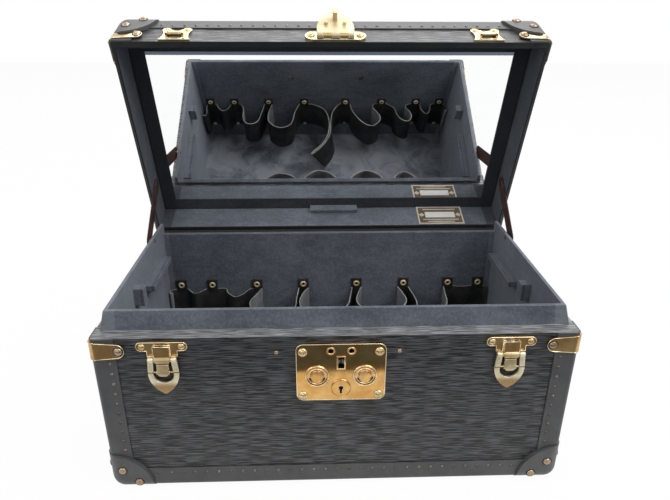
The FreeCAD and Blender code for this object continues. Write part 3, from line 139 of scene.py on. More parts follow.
class Recipe:
    """Node tree of a material or of the world, written as expressions."""

    def __init__(self, name: str, world: bool = False) -> None:
        """Starts an empty tree for a new material, or a new world, of that name."""
        self.owner = (bpy.data.worlds if world else bpy.data.materials).new(name)
        self.owner.use_nodes = True
        self.tree = self.owner.node_tree
        self.tree.nodes.clear()

    def node(self, kind: str, settings: dict | None = None, inputs: dict | None = None) -> bpy.types.Node:
        """Adds a node.

        Args:
            kind: The node's type.
            settings: Properties that are set before its sockets.
            inputs: Values or links of its sockets, by name or number.

        Returns:
            The new node.
        """
        made = self.tree.nodes.new(kind)
        for key, value in (settings or {}).items():
            setattr(made, key, value)
        for key, value in (inputs or {}).items():
            socket = made.inputs[key]
            source = value.socket if isinstance(value, Val) else value
            if isinstance(source, Socket):
                self.tree.links.new(source, socket)
            else:
                socket.default_value = source
        return made

    def place(self, lid: bool = False) -> Socket:
        """Object coordinates; for a piece of the lid, turned back to where the lid is shut."""
        point = self.node("ShaderNodeTexCoord").outputs["Object"]
        if not lid:
            return point
        shift = LID_TURN.inverted().translation
        inputs = {"Vector": point, "Location": shift, "Rotation": (OPEN_ANGLE, 0.0, 0.0)}
        return self.node("ShaderNodeMapping", {"vector_type": "POINT"}, inputs).outputs[0]

    def split(self, vector: Socket) -> tuple[Val, Val, Val]:
        """The three parts of a vector as values."""
        node = self.node("ShaderNodeSeparateXYZ", None, {0: vector})
        return tuple(Val(self, out) for out in node.outputs)

    def join(self, x: "Val | float", y: "Val | float", z: "Val | float") -> Socket:
        """A vector from three values."""
        return self.node("ShaderNodeCombineXYZ", None, {0: x, 1: y, 2: z}).outputs[0]

    def stretch(self, vector: Socket, scale: tuple[float, float, float]) -> Socket:
        """The vector with each part multiplied."""
        return self.node("ShaderNodeVectorMath", {"operation": "MULTIPLY"}, {0: vector, 1: scale}).outputs[0]

    def noise(self, vector: Socket, scale: float, detail: float = 2.0, rough: float = 0.5,
              distort: float = 0.0) -> Val:
        """Cloudy noise from 0 to 1.

        Args:
            vector: Where it is read.
            scale: Clouds per metre.
            detail: Octaves.
            rough: Weight of the finer octaves.
            distort: How far the clouds are drawn out of shape.

        Returns:
            The noise as a value.
        """
        inputs = {"Vector": vector, "Scale": scale, "Detail": detail, "Roughness": rough, "Distortion": distort}
        return Val(self, self.node("ShaderNodeTexNoise", None, inputs).outputs[0])

    def cells(self, vector: Socket, scale: float, feature: str = "F1") -> Val:
        """Distance to the nearest cell point, cells per metre given by scale."""
        node = self.node("ShaderNodeTexVoronoi", {"feature": feature}, {"Vector": vector, "Scale": scale})
        return Val(self, node.outputs["Distance"])

    def blend(self, share: "Val | float", low: "Colour | Socket", high: "Colour | Socket") -> Socket:
        """Colour between low and high."""
        node = self.node("ShaderNodeMix", {"data_type": "RGBA"}, {0: share, 6: low, 7: high})
        return node.outputs[2]

    def rounded(self, radius: float) -> Socket:
        """Normal with every edge eased by that radius."""
        return self.node("ShaderNodeBevel", {"samples": 6}, {"Radius": radius}).outputs[0]

    def edge(self, eased: Socket, low: float = 0.02, high: float = 0.25) -> Val:
        """Mask of the edges, from an eased normal."""
        true = self.node("ShaderNodeNewGeometry").outputs["Normal"]
        dot = self.node("ShaderNodeVectorMath", {"operation": "DOT_PRODUCT"}, {0: eased, 1: true})
        return (1.0 - Val(self, dot.outputs["Value"])).ease(low, high)

    def bump(self, height: Val, depth: float, strength: float = 1.0, normal: Socket | None = None) -> Socket:
        """Normal of a relief of that depth, over another normal if one is given."""
        inputs = {"Height": height, "Distance": depth, "Strength": strength}
        if normal is not None:
            inputs["Normal"] = normal
        return self.node("ShaderNodeBump", None, inputs).outputs[0]

    def close(self, shader: bpy.types.Node, output: str = "ShaderNodeOutputMaterial") -> "Material | bpy.types.World":
        """Ends the tree with that shader and gives the material or world."""
        self.node(output, None, {"Surface": shader.outputs[0]})
        return self.owner

    def finish(self, colour: Socket, roughness: Val, more: dict) -> Material:
        """Ends the tree with a Principled shader of that colour, roughness and further sockets."""
        inputs = {"Base Color": colour, "Roughness": roughness, **more}
        return self.close(self.node("ShaderNodeBsdfPrincipled", None, inputs))

    def cloudy_matt(self, scale: float, low: Colour, high: Colour) -> bpy.types.Node:
        """Matt shader whose tone drifts between two colours."""
        cloud = self.noise(self.place(), scale, 2.0)
        return self.node("ShaderNodeBsdfDiffuse", None, {"Color": self.blend(cloud, low, high)})


# --------------------------------------------------------------------------------------------- finishes


@dataclass(frozen=True)
class StriatedLeather:
    """Stiff leather pressed with uneven lines that run along the case."""

    dark: Colour = grey(0.004, (0.95, 0.98, 1.08))
    light: Colour = grey(0.108, (0.97, 0.99, 1.05))
    # colour of the base's top rim: painted light, as the rim faces up
    rim_painted_light: Colour = grey(0.36, (0.97, 0.98, 1.03))
    run: float = 62.0
    pitch: float = 1650.0
    depth: float = 0.16 * MM
    top_level: float = 172.9 * MM
    rim_level: float = 133.3 * MM
    lid_rim_level: float = 133.9 * MM

    def make(self, name: str, lid: bool = False) -> Material:
        """Builds the material, with the lid's pattern turned back to its shut place."""
        r = Recipe(name)
        x, y, z = r.split(r.place(lid))
        top = z.above(self.top_level if lid else self.rim_level)
        along = x + y * (1.0 - top)
        across = z + top * (y - z)
        sway = r.noise(r.join(along * 24.0, across * 40.0, 0.0), 1.0, 1.0)
        across = across + (sway - 0.5) * (0.7 * MM)
        fine = r.noise(r.join(along * self.run, across * self.pitch, 0.0), 1.0, 1.0, 0.4)
        broad = r.noise(r.join(along * 24.0, across * 260.0, 3.0), 1.0, 1.0, 0.5)
        lines = (fine * 0.92 + broad * 0.08).ease(0.485, 0.56)
        cloud = r.noise(r.join(along * 9.0, across * 14.0, 7.0), 1.0, 2.0)
        # the lines are pressed into the grain and also painted lighter than the leather between them: painted sheen
        # on their ridges
        sheen = (lines * (0.55 + cloud * 0.6)).ease(0.05, 0.95)
        eased = r.rounded(0.5 * MM)
        tone = r.blend(sheen, self.dark, self.light)
        if lid:
            # painted shade: below lid_rim_level the lid's rim strip is nearly black
            tone = r.blend(1.0 - z.above(self.lid_rim_level), tone, grey(0.011))
        else:
            # painted light: above rim_level the base's top rim is much lighter, grey 0.10 up to the rim colour on the
            # lines
            tone = r.blend(z.above(self.rim_level), tone, r.blend(sheen, grey(0.10), self.rim_painted_light))
        return r.finish(tone, 0.42 - lines * 0.10, {
            "Normal": r.bump(lines, self.depth, 0.6, eased), "Specular IOR Level": 0.5})


@dataclass(frozen=True)
class SmoothLeather:
    """Plain leather with a fine pore, worn pale along its edges."""

    colour: Colour = grey(0.070, (0.98, 0.99, 1.02))
    worn: Colour = grey(0.15, (1.0, 1.0, 1.01))
    pore: float = 1150.0
    edge_radius: float = 0.7 * MM
    roughness: float = 0.46
    dark_edge: bool = False

    def make(self, name: str, lid: bool = False) -> Material:
        """Builds the material; a dark edge is the cut side of thick leather."""
        r = Recipe(name)
        point = r.place(lid)
        cloud = r.noise(point, 42.0, 3.0, 0.6)
        pore = r.cells(point, self.pore, "SMOOTH_F1")
        crease = r.noise(r.stretch(point, (180.0, 180.0, 300.0)), 1.0, 3.0, 0.6, 0.4)
        eased = r.rounded(self.edge_radius)
        edge = r.edge(eased)
        tone = r.blend(cloud.ease(0.3, 0.75), self.colour, tuple(c * 1.45 for c in self.colour[:3]) + (1.0,))
        rub = edge * cloud.ease(0.25, 0.6)
        trim = grey(0.008) if self.dark_edge else self.worn
        return r.finish(r.blend(rub, tone, trim), self.roughness + cloud * 0.12 - pore * 0.08, {
            "Normal": r.bump(pore * 0.5 + crease * 0.5, 0.10 * MM, 0.55, eased), "Specular IOR Level": 0.42})


@dataclass(frozen=True)
class Suede:
    """Blue-grey suede with brushed patches and paler edges."""

    deep: Colour = (0.086, 0.098, 0.119, 1.0)
    pale: Colour = (0.190, 0.211, 0.246, 1.0)
    # pale edges, and also the colour of the painted light on the base's floor and sides
    pale_edge_and_lit_tone: Colour = (0.38, 0.405, 0.44, 1.0)
    edge_radius: float = 1.1 * MM
    rim_level: float = 134.3 * MM
    floor_level: float = 13.4 * MM
    side_x: float = 155.0 * MM

    def make(self, name: str, lid: bool = False) -> Material:
        """Builds the material; painted shade darkens the lid's rim and far walls, painted light makes the base's
        floor and sides paler.
        """
        r = Recipe(name)
        point = r.place(lid)
        patch = r.noise(point, 16.0, 3.0, 0.62, 0.6)
        brush = r.noise(r.stretch(point, (70.0, 110.0, 150.0)), 1.0, 3.0, 0.6, 0.8)
        nap = r.noise(point, 1500.0, 2.0, 0.6)
        fleck = r.noise(point, 520.0, 2.0, 0.7).ease(0.35, 0.75)
        eased = r.rounded(self.edge_radius)
        edge = r.edge(eased, 0.015, 0.22) * r.noise(point, 90.0, 2.0).ease(0.2, 0.6)
        tone = (patch * 0.55 + brush * 0.30 + fleck * 0.15).ease(0.28, 0.72)
        colour = r.blend(edge * 0.8, r.blend(tone, self.deep, self.pale), self.pale_edge_and_lit_tone)
        x, y, z = r.split(point)
        if lid:
            # painted shade: the lid's side walls and far half are darkened, and its rim below rim_level is nearly
            # black
            shade = (x * x).above(self.side_x ** 2).most(1.0 - y.above(0.0))
            colour = r.blend(shade * 0.60, colour, grey(0.030, (0.94, 0.99, 1.12)))
            colour = r.blend(1.0 - z.above(self.rim_level), colour, grey(0.014))
        else:
            # painted light: the base's side walls, and its floor in patches, are painted paler
            floor_light_patches = r.noise(point, 34.0, 4.0, 0.62, 0.8).ease(0.34, 0.66)
            lit = ((x * x).above(self.side_x ** 2) * 0.36).most((1.0 - z.above(self.floor_level)) * floor_light_patches)
            colour = r.blend(lit * 0.60, colour, self.pale_edge_and_lit_tone)
        return r.finish(colour, 0.86 + nap * 0.12, {
            "Normal": r.bump(nap * 0.6 + brush * 0.4, 0.22 * MM, 0.6, eased), "Specular IOR Level": 0.2,
            "Sheen Weight": 0.25, "Sheen Roughness": 0.45, "Sheen Tint": (0.72, 0.80, 0.92, 1.0)})


@dataclass(frozen=True)
class Brass:
    """Polished brass with patina, fine scratches and brighter edges; a lever also gets painted shade."""

    gold: Colour = (0.65, 0.35, 0.105, 1.0)
    pale: Colour = (0.74, 0.46, 0.17, 1.0)
    tarnish_and_foot_shade: Colour = (0.48, 0.25, 0.10, 1.0)
    edge_radius: float = 0.5 * MM
    roughness: float = 0.06
    age: float = 0.6
    metallic: float = 1.0
    # levels of a lever's painted shade: a dark line at its bend, and brown below its foot
    seam: float = 0.0
    foot: float = 0.0

    def make(self, name: str, lid: bool = False) -> Material:
        """Builds the material; a lever gets a painted dark line, the shade in its bend, at one level and is painted
        brown, in shade, below its foot level.
        """
        r = Recipe(name)
        point = r.place(lid)
        stain = r.noise(point, 62.0, 3.0, 0.55, 0.6)
        speck = r.noise(point, 480.0, 2.0, 0.6).ease(0.66, 0.80)
        haze = r.noise(point, 90.0, 2.0, 0.5)
        scratch = r.noise(r.stretch(point, (2600.0, 2600.0, 180.0)), 1.0, 1.0)
        wave = r.noise(point, 120.0, 1.0)
        eased = r.rounded(self.edge_radius)
        edge = r.edge(eased, 0.02, 0.2)
        old = (stain.ease(0.42, 0.72) * self.age + speck * 0.35 * self.age) * (1.0 - edge * 0.8)
        metal = r.blend(old, r.blend(haze.ease(0.35, 0.7), self.gold, self.pale), self.tarnish_and_foot_shade)
        # painted shade on a lever: brown below the foot level and a near-black line at the bend
        if self.foot > 0.0:
            level = r.split(point)[2]
            metal = r.blend(1.0 - level.ease(self.foot - 3.0 * MM, self.foot + 1.5 * MM), metal, self.tarnish_and_foot_shade)
            line = level.above(self.seam - 0.4 * MM) - level.above(self.seam + 0.4 * MM)
            metal = r.blend(line, metal, (0.03, 0.02, 0.01, 1.0))
        return r.finish(metal, self.roughness + old * 0.08 + scratch.ease(0.55, 0.8) * 0.05, {
            "Metallic": self.metallic, "Normal": r.bump(wave * 0.9 + scratch * 0.1, 0.05 * MM, 0.4, eased)})


@dataclass(frozen=True)
class DarkSteel:
    """Blackened steel inside the lock, springs and bolts."""

    dark: Colour = grey(0.05)
    bright: Colour = grey(0.32)

    def make(self, name: str) -> Material:
        """Builds the material."""
        r = Recipe(name)
        point = r.place()
        stain = r.noise(point, 240.0, 3.0, 0.6)
        grain = r.noise(r.stretch(point, (400.0, 400.0, 2400.0)), 1.0, 2.0)
        return r.finish(r.blend(stain.ease(0.4, 0.7), self.dark, self.bright), 0.35 + grain * 0.25, {
            "Metallic": 0.9, "Normal": r.bump(grain, 0.03 * MM, 0.5, r.rounded(0.2 * MM))})


@dataclass(frozen=True)
class MirrorGlass:
    """Silvered glass, nearly clean."""

    silver: Colour = (0.975, 0.98, 0.98, 1.0)
    haze: Colour = (0.95, 0.955, 0.955, 1.0)

    def make(self, name: str) -> Material:
        """Builds the material."""
        r = Recipe(name)
        point = r.place(True)
        smear = r.noise(r.stretch(point, (26.0, 40.0, 40.0)), 1.0, 4.0, 0.6, 1.0).ease(0.45, 0.8)
        return r.finish(r.blend(smear, self.silver, self.haze), smear * 0.012 + 0.006, {"Metallic": 1.0})


@dataclass(frozen=True)
class Wood:
    """Plain plywood, only seen where nothing covers it."""

    pale: Colour = (0.42, 0.27, 0.14, 1.0)
    dark: Colour = (0.22, 0.12, 0.06, 1.0)

    def make(self, name: str) -> Material:
        """Builds the material."""
        r = Recipe(name)
        point = r.place()
        grain = r.noise(r.stretch(point, (16.0, 160.0, 420.0)), 1.0, 4.0, 0.6, 0.5)
        return r.finish(r.blend(grain.ease(0.3, 0.7), self.pale, self.dark), 0.6 + grain * 0.2, {
            "Normal": r.bump(grain, 0.1 * MM, 0.5)})


@dataclass(frozen=True)
class SoftLeather:
    """Supple leather of bands, stays and grip: fine creases over a cloudy tone."""

    colour: Colour = grey(0.012)
    light: Colour = grey(0.035)
    roughness: float = 0.48
    crease: float = 320.0

    def make(self, name: str, lid: bool = False) -> Material:
        """Builds the material."""
        r = Recipe(name)
        point = r.place(lid)
        cloud = r.noise(point, 60.0, 3.0, 0.6, 0.5)
        pore = r.cells(point, 1300.0, "SMOOTH_F1")
        crease = r.noise(r.stretch(point, (self.crease, self.crease, self.crease * 0.5)), 1.0, 3.0, 0.65, 0.7)
        return r.finish(r.blend(cloud.ease(0.35, 0.75), self.colour, self.light), self.roughness + crease * 0.18, {
            "Normal": r.bump(pore * 0.4 + crease * 0.6, 0.14 * MM, 0.6), "Specular IOR Level": 0.35})


@dataclass
class Finishes:
    """All finishes of the case, made once."""

    made: dict[str, Material] = field(default_factory=dict)

    def build(self) -> None:
        """Makes every material."""
        thick = SmoothLeather(grey(0.080, (0.98, 0.99, 1.02)), grey(0.12), 980.0, 0.6 * MM, 0.44, True)
        back = SoftLeather((0.16, 0.17, 0.17, 1.0), (0.26, 0.27, 0.27, 1.0), 0.85)
        self.made = {
            "front": StriatedLeather().make("striated_leather_base"),
            "lid_front": StriatedLeather().make("striated_leather_lid", True),
            "edging": SmoothLeather().make("edging_leather_base"),
            "lid_edging": SmoothLeather().make("edging_leather_lid", True),
            "cap": thick.make("corner_leather_base"),
            "lid_cap": thick.make("corner_leather_lid", True),
            "suede": Suede().make("suede_base"),
            # a lighter copy of the base suede: painted light on the lid's lining
            "lid_suede": Suede((0.112, 0.128, 0.152, 1.0), (0.235, 0.262, 0.300, 1.0)).make("suede_lid", True),
            "bezel": Suede((0.024, 0.027, 0.033, 1.0), (0.052, 0.056, 0.066, 1.0), (0.09, 0.095, 0.105, 1.0),
                           0.5 * MM).make("suede_mirror_frame", True),
            # near-black copy of the edge leather: painted shade on the lid's box and rim strip, and on the hinge
            # strip
            "rim": SmoothLeather(grey(0.016), grey(0.04), 1150.0, 0.4 * MM, 0.55).make("shaded_rim_leather_lid", True),
            "brass": Brass().make("brass_base"),
            "lid_brass": Brass((0.56, 0.43, 0.21, 1.0), (0.70, 0.59, 0.35, 1.0), (0.40, 0.26, 0.10, 1.0)).make(
                "brass_lid", True),
            "rim_brass": Brass((0.88, 0.74, 0.48, 1.0), (0.94, 0.86, 0.64, 1.0), (0.66, 0.48, 0.25, 1.0),
                               0.1 * MM, 0.16, 0.4).make("brass_rims"),
            "bright_brass": Brass((0.62, 0.44, 0.22, 1.0), (0.72, 0.57, 0.34, 1.0), (0.42, 0.25, 0.10, 1.0),
                                  0.6 * MM, 0.15, 0.4).make("brass_bright"),
            # levers: painted shade line at the bend at 108.2 mm and painted shade below the foot at 99.5 mm
            "lever_brass": Brass((0.92, 0.80, 0.50, 1.0), (0.96, 0.90, 0.68, 1.0), (0.44, 0.28, 0.12, 1.0),
                                 1.7 * MM, 0.24, 0.25, 0.45, 108.2 * MM, 99.5 * MM).make("brass_levers"),
            "hasp_brass": Brass((0.66, 0.55, 0.33, 1.0), (0.76, 0.67, 0.45, 1.0), (0.46, 0.33, 0.16, 1.0),
                                0.6 * MM, 0.42, 0.5, 0.35).make("brass_hasp", True),
            "amber_brass": Brass((0.60, 0.36, 0.13, 1.0), (0.70, 0.47, 0.20, 1.0), (0.40, 0.20, 0.07, 1.0),
                                 0.5 * MM, 0.16, 0.8, 0.72).make("brass_amber"),
            "ring_brass": Brass((0.78, 0.62, 0.32, 1.0), (0.88, 0.76, 0.48, 1.0), (0.42, 0.28, 0.12, 1.0),
                                0.3 * MM, 0.34, 0.5, 0.30).make("brass_rings"),
            "nail": Brass((0.11, 0.095, 0.07, 1.0), (0.18, 0.16, 0.125, 1.0), (0.04, 0.03, 0.02, 1.0),
                          0.1 * MM, 0.20, 0.6).make("brass_nails"),
            "rivet_brass": Brass((0.36, 0.25, 0.16, 1.0), (0.52, 0.40, 0.29, 1.0), (0.18, 0.11, 0.06, 1.0),
                                 0.4 * MM, 0.22, 0.9, 0.85).make("brass_rivets"),
            "hook_brass": Brass((0.62, 0.50, 0.28, 1.0), (0.76, 0.66, 0.42, 1.0), (0.36, 0.24, 0.10, 1.0),
                                0.5 * MM, 0.35, 0.8, 0.5).make("brass_hooks"),
            "shadow": SoftLeather(grey(0.004), grey(0.012), 0.8).make("dark_inside"),
            "steel": DarkSteel().make("dark_steel"),
            "mirror": MirrorGlass().make("mirror_silver"),
            "wood": Wood().make("plain_wood"),
            "band": SoftLeather().make("band_leather_face"),
            "band_back": back.make("band_leather_back"),
            "band_edge": SoftLeather((0.26, 0.26, 0.25, 1.0), (0.42, 0.41, 0.39, 1.0), 0.7).make("band_leather_cut"),
            "stay": SoftLeather((0.040, 0.018, 0.014, 1.0), (0.10, 0.048, 0.038, 1.0), 0.5).make("stay_leather"),
            "grip": SoftLeather(grey(0.016), grey(0.04), 0.42, 260.0).make("grip_leather", True),
            "thread": SoftLeather(grey(0.03), grey(0.08), 0.7).make("grip_thread", True),
            "label_field": SoftLeather((0.13, 0.090, 0.055, 1.0), (0.22, 0.16, 0.10, 1.0), 0.55).make(
                "label_field", True),
            "label_border": SoftLeather((0.66, 0.60, 0.50, 1.0), (0.80, 0.76, 0.66, 1.0), 0.6).make(
                "label_border", True),
            "label_bar": SoftLeather((0.88, 0.87, 0.84, 1.0), (0.94, 0.93, 0.91, 1.0), 0.5).make("label_bar", True),
        }

    def __getitem__(self, name: str) -> Material:
        """The finish of that name."""
        return self.made[name]


# -------------------------------------------------------------------------------------------- workbench


def linked(name: str, data: bpy.types.ID) -> Piece:
    """A new object of that mesh, camera or lamp in the scene."""
    obj = bpy.data.objects.new(name, data)
    bpy.context.scene.collection.objects.link(obj)
    return obj


class Bench:
    """Shapes one mesh at a time with operators, as by hand."""

    @staticmethod
    def clear() -> None:
        """Leaves edit mode and deselects everything."""
        if bpy.context.mode != "OBJECT":
            bpy.ops.object.mode_set(mode="OBJECT")
        bpy.ops.object.select_all(action="DESELECT")

    @staticmethod
    def take(obj: Piece) -> Piece:
        """Makes one object the only selected and the active one."""
        Bench.clear()
        obj.select_set(True)
        bpy.context.view_layer.objects.active = obj
        return obj

    @staticmethod
    def named(name: str) -> Piece:
        """Names the primitive that was just added and puts its place into its mesh."""
        obj = bpy.context.object
        obj.name = name
        obj.data.name = name
        bpy.ops.object.transform_apply(location=True, rotation=True, scale=True)
        return obj

    @staticmethod
    @contextmanager
    def editing(obj: Piece, action: str = "SELECT", mode: str = "VERT") -> Iterator[None]:
        """Opens a piece for shaping with all or none of it selected, and shuts it afterwards."""
        Bench.take(obj)
        bpy.ops.object.mode_set(mode="EDIT")
        bpy.ops.mesh.select_mode(type=mode)
        bpy.ops.mesh.select_all(action=action)
        yield
        bpy.ops.object.mode_set(mode="OBJECT")

    @staticmethod
    @contextmanager
    def picked(obj: Piece, test: Callable[[bpy.types.MeshPolygon], bool]) -> Iterator[None]:
        """Opens a piece for shaping with only the faces selected that pass the test, and shuts it afterwards."""
        with Bench.editing(obj, "DESELECT", "FACE"):
            bpy.ops.object.mode_set(mode="OBJECT")
            for polygon in obj.data.polygons:
                polygon.select = test(polygon)
            bpy.ops.object.mode_set(mode="EDIT")
            yield

    @staticmethod
    def modify(obj: Piece, kind: str, settings: dict) -> None:
        """Adds a modifier with those settings and applies it."""
        Bench.take(obj)
        modifier = obj.modifiers.new(kind.lower(), kind)
        for key, value in settings.items():
            setattr(modifier, key, value)
        bpy.ops.object.modifier_apply(modifier=modifier.name)

    @staticmethod
    def smooth(obj: Piece, degrees: float = 40.0) -> None:
        """Smooth shading that keeps edges sharper than the angle."""
        Bench.take(obj)
        bpy.ops.object.shade_smooth_by_angle(angle=math.radians(degrees))

    @staticmethod
    def round_off(obj: Piece, width: float) -> None:
        """Rounds the cut edges of a strip by a width in millimetres and shades it smooth."""
        Bench.modify(obj, "BEVEL", {"width": width * MM, "segments": 2, "limit_method": "ANGLE",
                                    "angle_limit": math.radians(60)})
        Bench.smooth(obj, 50.0)

    @staticmethod
    def block(name: str, low: Sequence[float], high: Sequence[float], ease: float) -> Piece:
        """A box from corner to corner in millimetres with its edges eased."""
        Bench.clear()
        middle = [(a + b) / 2 * MM for a, b in zip(low, high)]
        size = [(b - a) * MM for a, b in zip(low, high)]
        bpy.ops.mesh.primitive_cube_add(size=1.0, location=middle, scale=size)
        obj = Bench.named(name)
        with Bench.editing(obj):
            bpy.ops.mesh.bevel(offset=ease * MM, offset_type="OFFSET", segments=3, affect="EDGES")
        return obj

    @staticmethod
    def lathe(name: str, profile: Profile, steps: int) -> Piece:
        """A turned piece about Z, one extruded ring after another.

        Args:
            name: The piece's name.
            profile: Radius and height of each ring, outside first.
            steps: Corners of a ring.

        Returns:
            The new object.
        """
        Bench.clear()
        radius, height = profile[0]
        bpy.ops.mesh.primitive_circle_add(vertices=steps, radius=radius, location=(0.0, 0.0, height))
        obj = Bench.named(name)
        with Bench.editing(obj):
            for next_radius, next_height in profile[1:]:
                lift = (0.0, 0.0, next_height - height)
                bpy.ops.mesh.extrude_region_move(TRANSFORM_OT_translate={"value": lift})
                grow = max(next_radius, POINT) / radius
                bpy.ops.transform.resize(value=(grow, grow, 1.0), center_override=(0.0, 0.0, next_height))
                radius, height = max(next_radius, POINT), next_height
        Bench.weld(obj, 2 * POINT)
        return obj

    @staticmethod
    def strip(name: str, rows: Sequence[Sequence[Vector]]) -> Piece:
        """A sheet from a grid, its rows laid on the given points."""
        Bench.clear()
        across, along = len(rows[0]), len(rows)
        bpy.ops.mesh.primitive_grid_add(x_subdivisions=across - 1, y_subdivisions=along - 1, size=1.0)
        obj = Bench.named(name)
        for index, vertex in enumerate(obj.data.vertices):
            vertex.co = rows[index // across][index % across]
        obj.data.update()
        return obj

    @staticmethod
    def stamp(master: Piece, name: str, places: Iterable[Matrix]) -> Piece:
        """Copies a piece to each place, each copy with its own mesh, and joins the copies.

        Args:
            master: The piece that was modelled once; it is removed.
            name: Name of the joined copies.
            places: Where each copy goes.

        Returns:
            The joined object.
        """
        copies = []
        for place in places:
            mesh = master.data.copy()
            mesh.transform(place)
            copies.append(linked(name, mesh))
        bpy.data.objects.remove(master)
        Bench.clear()
        for copy in copies:
            copy.select_set(True)
        bpy.context.view_layer.objects.active = copies[0]
        bpy.ops.object.join()
        return Bench.named(name)

    @staticmethod
    def weld(obj: Piece, threshold: float) -> None:
        """Merges the points that lie within the threshold and turns every face outwards."""
        with Bench.editing(obj):
            bpy.ops.mesh.remove_doubles(threshold=threshold)
            bpy.ops.mesh.normals_make_consistent(inside=False)

    @staticmethod
    def shut_copy(source: Piece, name: str, lid: bool, threshold: float) -> Piece:
        """A welded copy of a piece, turned back to its place with the lid shut if it is on the lid."""
        mesh = source.data.copy()
        if lid:
            mesh.transform(LID_TURN.inverted())
        obj = linked(name, mesh)
        Bench.weld(obj, threshold)
        return obj

    @staticmethod
    def turned(obj: Piece, place: Matrix) -> Piece:
        """Moves a piece's mesh."""
        obj.data.transform(place)
        obj.data.update()
        return obj


def dress(obj: Piece, *finishes: Material) -> Piece:
    """Gives a piece its finishes, in slot order."""
    obj.data.materials.clear()
    for finish in finishes:
        obj.data.materials.append(finish)
    return obj


def settle(obj: Piece, body: Body, slot: Slot, *nodes: str) -> Piece:
    """A new piece rides on a body and stands for CAD nodes."""
    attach(obj, body.value)
    if nodes:
        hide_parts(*nodes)
    log.info("%s rides on %s", obj.name, body.value)
    return obj


def fold(obj: Piece, slot: Slot, low: Vector, high: Vector, *nodes: str) -> None:
    """A new piece that spans base and lid has its place put into its mesh and stands for CAD nodes."""
    if nodes:
        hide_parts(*nodes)
    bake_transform(obj)
    log.info("%s bends from base to lid", obj.name)


def islands(node: str, lid: bool) -> list[tuple[Vector, Vector]]:
    """Lowest and highest corner of each separate solid of a node, with the lid shut."""
    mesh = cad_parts[node].data
    back = LID_TURN.inverted() if lid else Matrix.Identity(4)
    points = [back @ vertex.co for vertex in mesh.vertices]
    keys = [tuple(round(c * 2e5) for c in vertex.co) for vertex in mesh.vertices]
    root: dict = {key: key for key in keys}

    def find(key: tuple) -> tuple:
        """Key that stands for a whole solid."""
        while root[key] != key:
            root[key] = root[root[key]]
            key = root[key]
        return key

    for polygon in mesh.polygons:
        first = find(keys[polygon.vertices[0]])
        for index in polygon.vertices[1:]:
            root[find(keys[index])] = first
    groups: dict = {}
    for key, point in zip(keys, points):
        groups.setdefault(find(key), []).append(point)
    boxes = []
    for group in groups.values():
        low = Vector([min(p[k] for p in group) for k in range(3)])
        high = Vector([max(p[k] for p in group) for k in range(3)])
        boxes.append((low, high))
    return sorted(boxes, key=lambda box: tuple(round(c, 4) for c in box[0]))


# ------------------------------------------------------------------------------------------ the assembly


@dataclass
class Coats:
    """Finishes of the solids that keep their shape: leather shell, brass fittings, then the suede inside."""

    finishes: Finishes
    coats: tuple[tuple[str, ...], ...] = (
        ("edging", "base_box", "base_edging", "base_panel"),
        ("lid_edging", "lid_edging"),
        # painted shade: lid_box takes the near-black rim leather
        ("rim", "lid_box"),
        ("front", "base_covering"),
        ("lid_front", "lid_covering"),
        ("cap", "base_corner_caps"),
        ("lid_cap", "lid_corner_caps"),
        ("nail", "base_nails", "lid_nails"),
        ("brass", "base_pins", "lock_plate", "keyhole_rosette", "lock_button_left", "lock_button_right"),
        ("rivet_brass", "through_pins"),
        ("amber_brass", "base_brass_corners", "clasp_plates"),
        ("lever_brass", "clasp_lever_left", "clasp_lever_right"),
        ("bright_brass", "hook_pin_left", "hook_pin_right", "clasp_hook_left", "clasp_hook_right",
         "hinge_base_leaf", "hinge_lid_leaf"),
        ("hasp_brass", "hasp"),
        ("lid_brass", "lid_brass_corners", "hasp_plate", "catch_plates", "catch_rolls", "handle_mounts", "lid_pins",
         "handle_ends"),
        ("steel", "lock_case", "lock_bolt_left", "lock_bolt_right", "button_spring_left", "button_spring_right"),
        ("suede", "base_lining", "tray_rests"),
        ("lid_suede", "lid_lining", "mirror_tab"),
        ("bezel", "mirror_frame"),
        ("mirror", "mirror_glass"),
        ("wood", "mirror_backing"))

    def build(self) -> None:
        """Gives each node its finish."""
        for finish, *nodes in self.coats:
            for name in nodes:
                dress(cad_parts[name], self.finishes[finish])
                log.info("%s takes %s", name, finish)


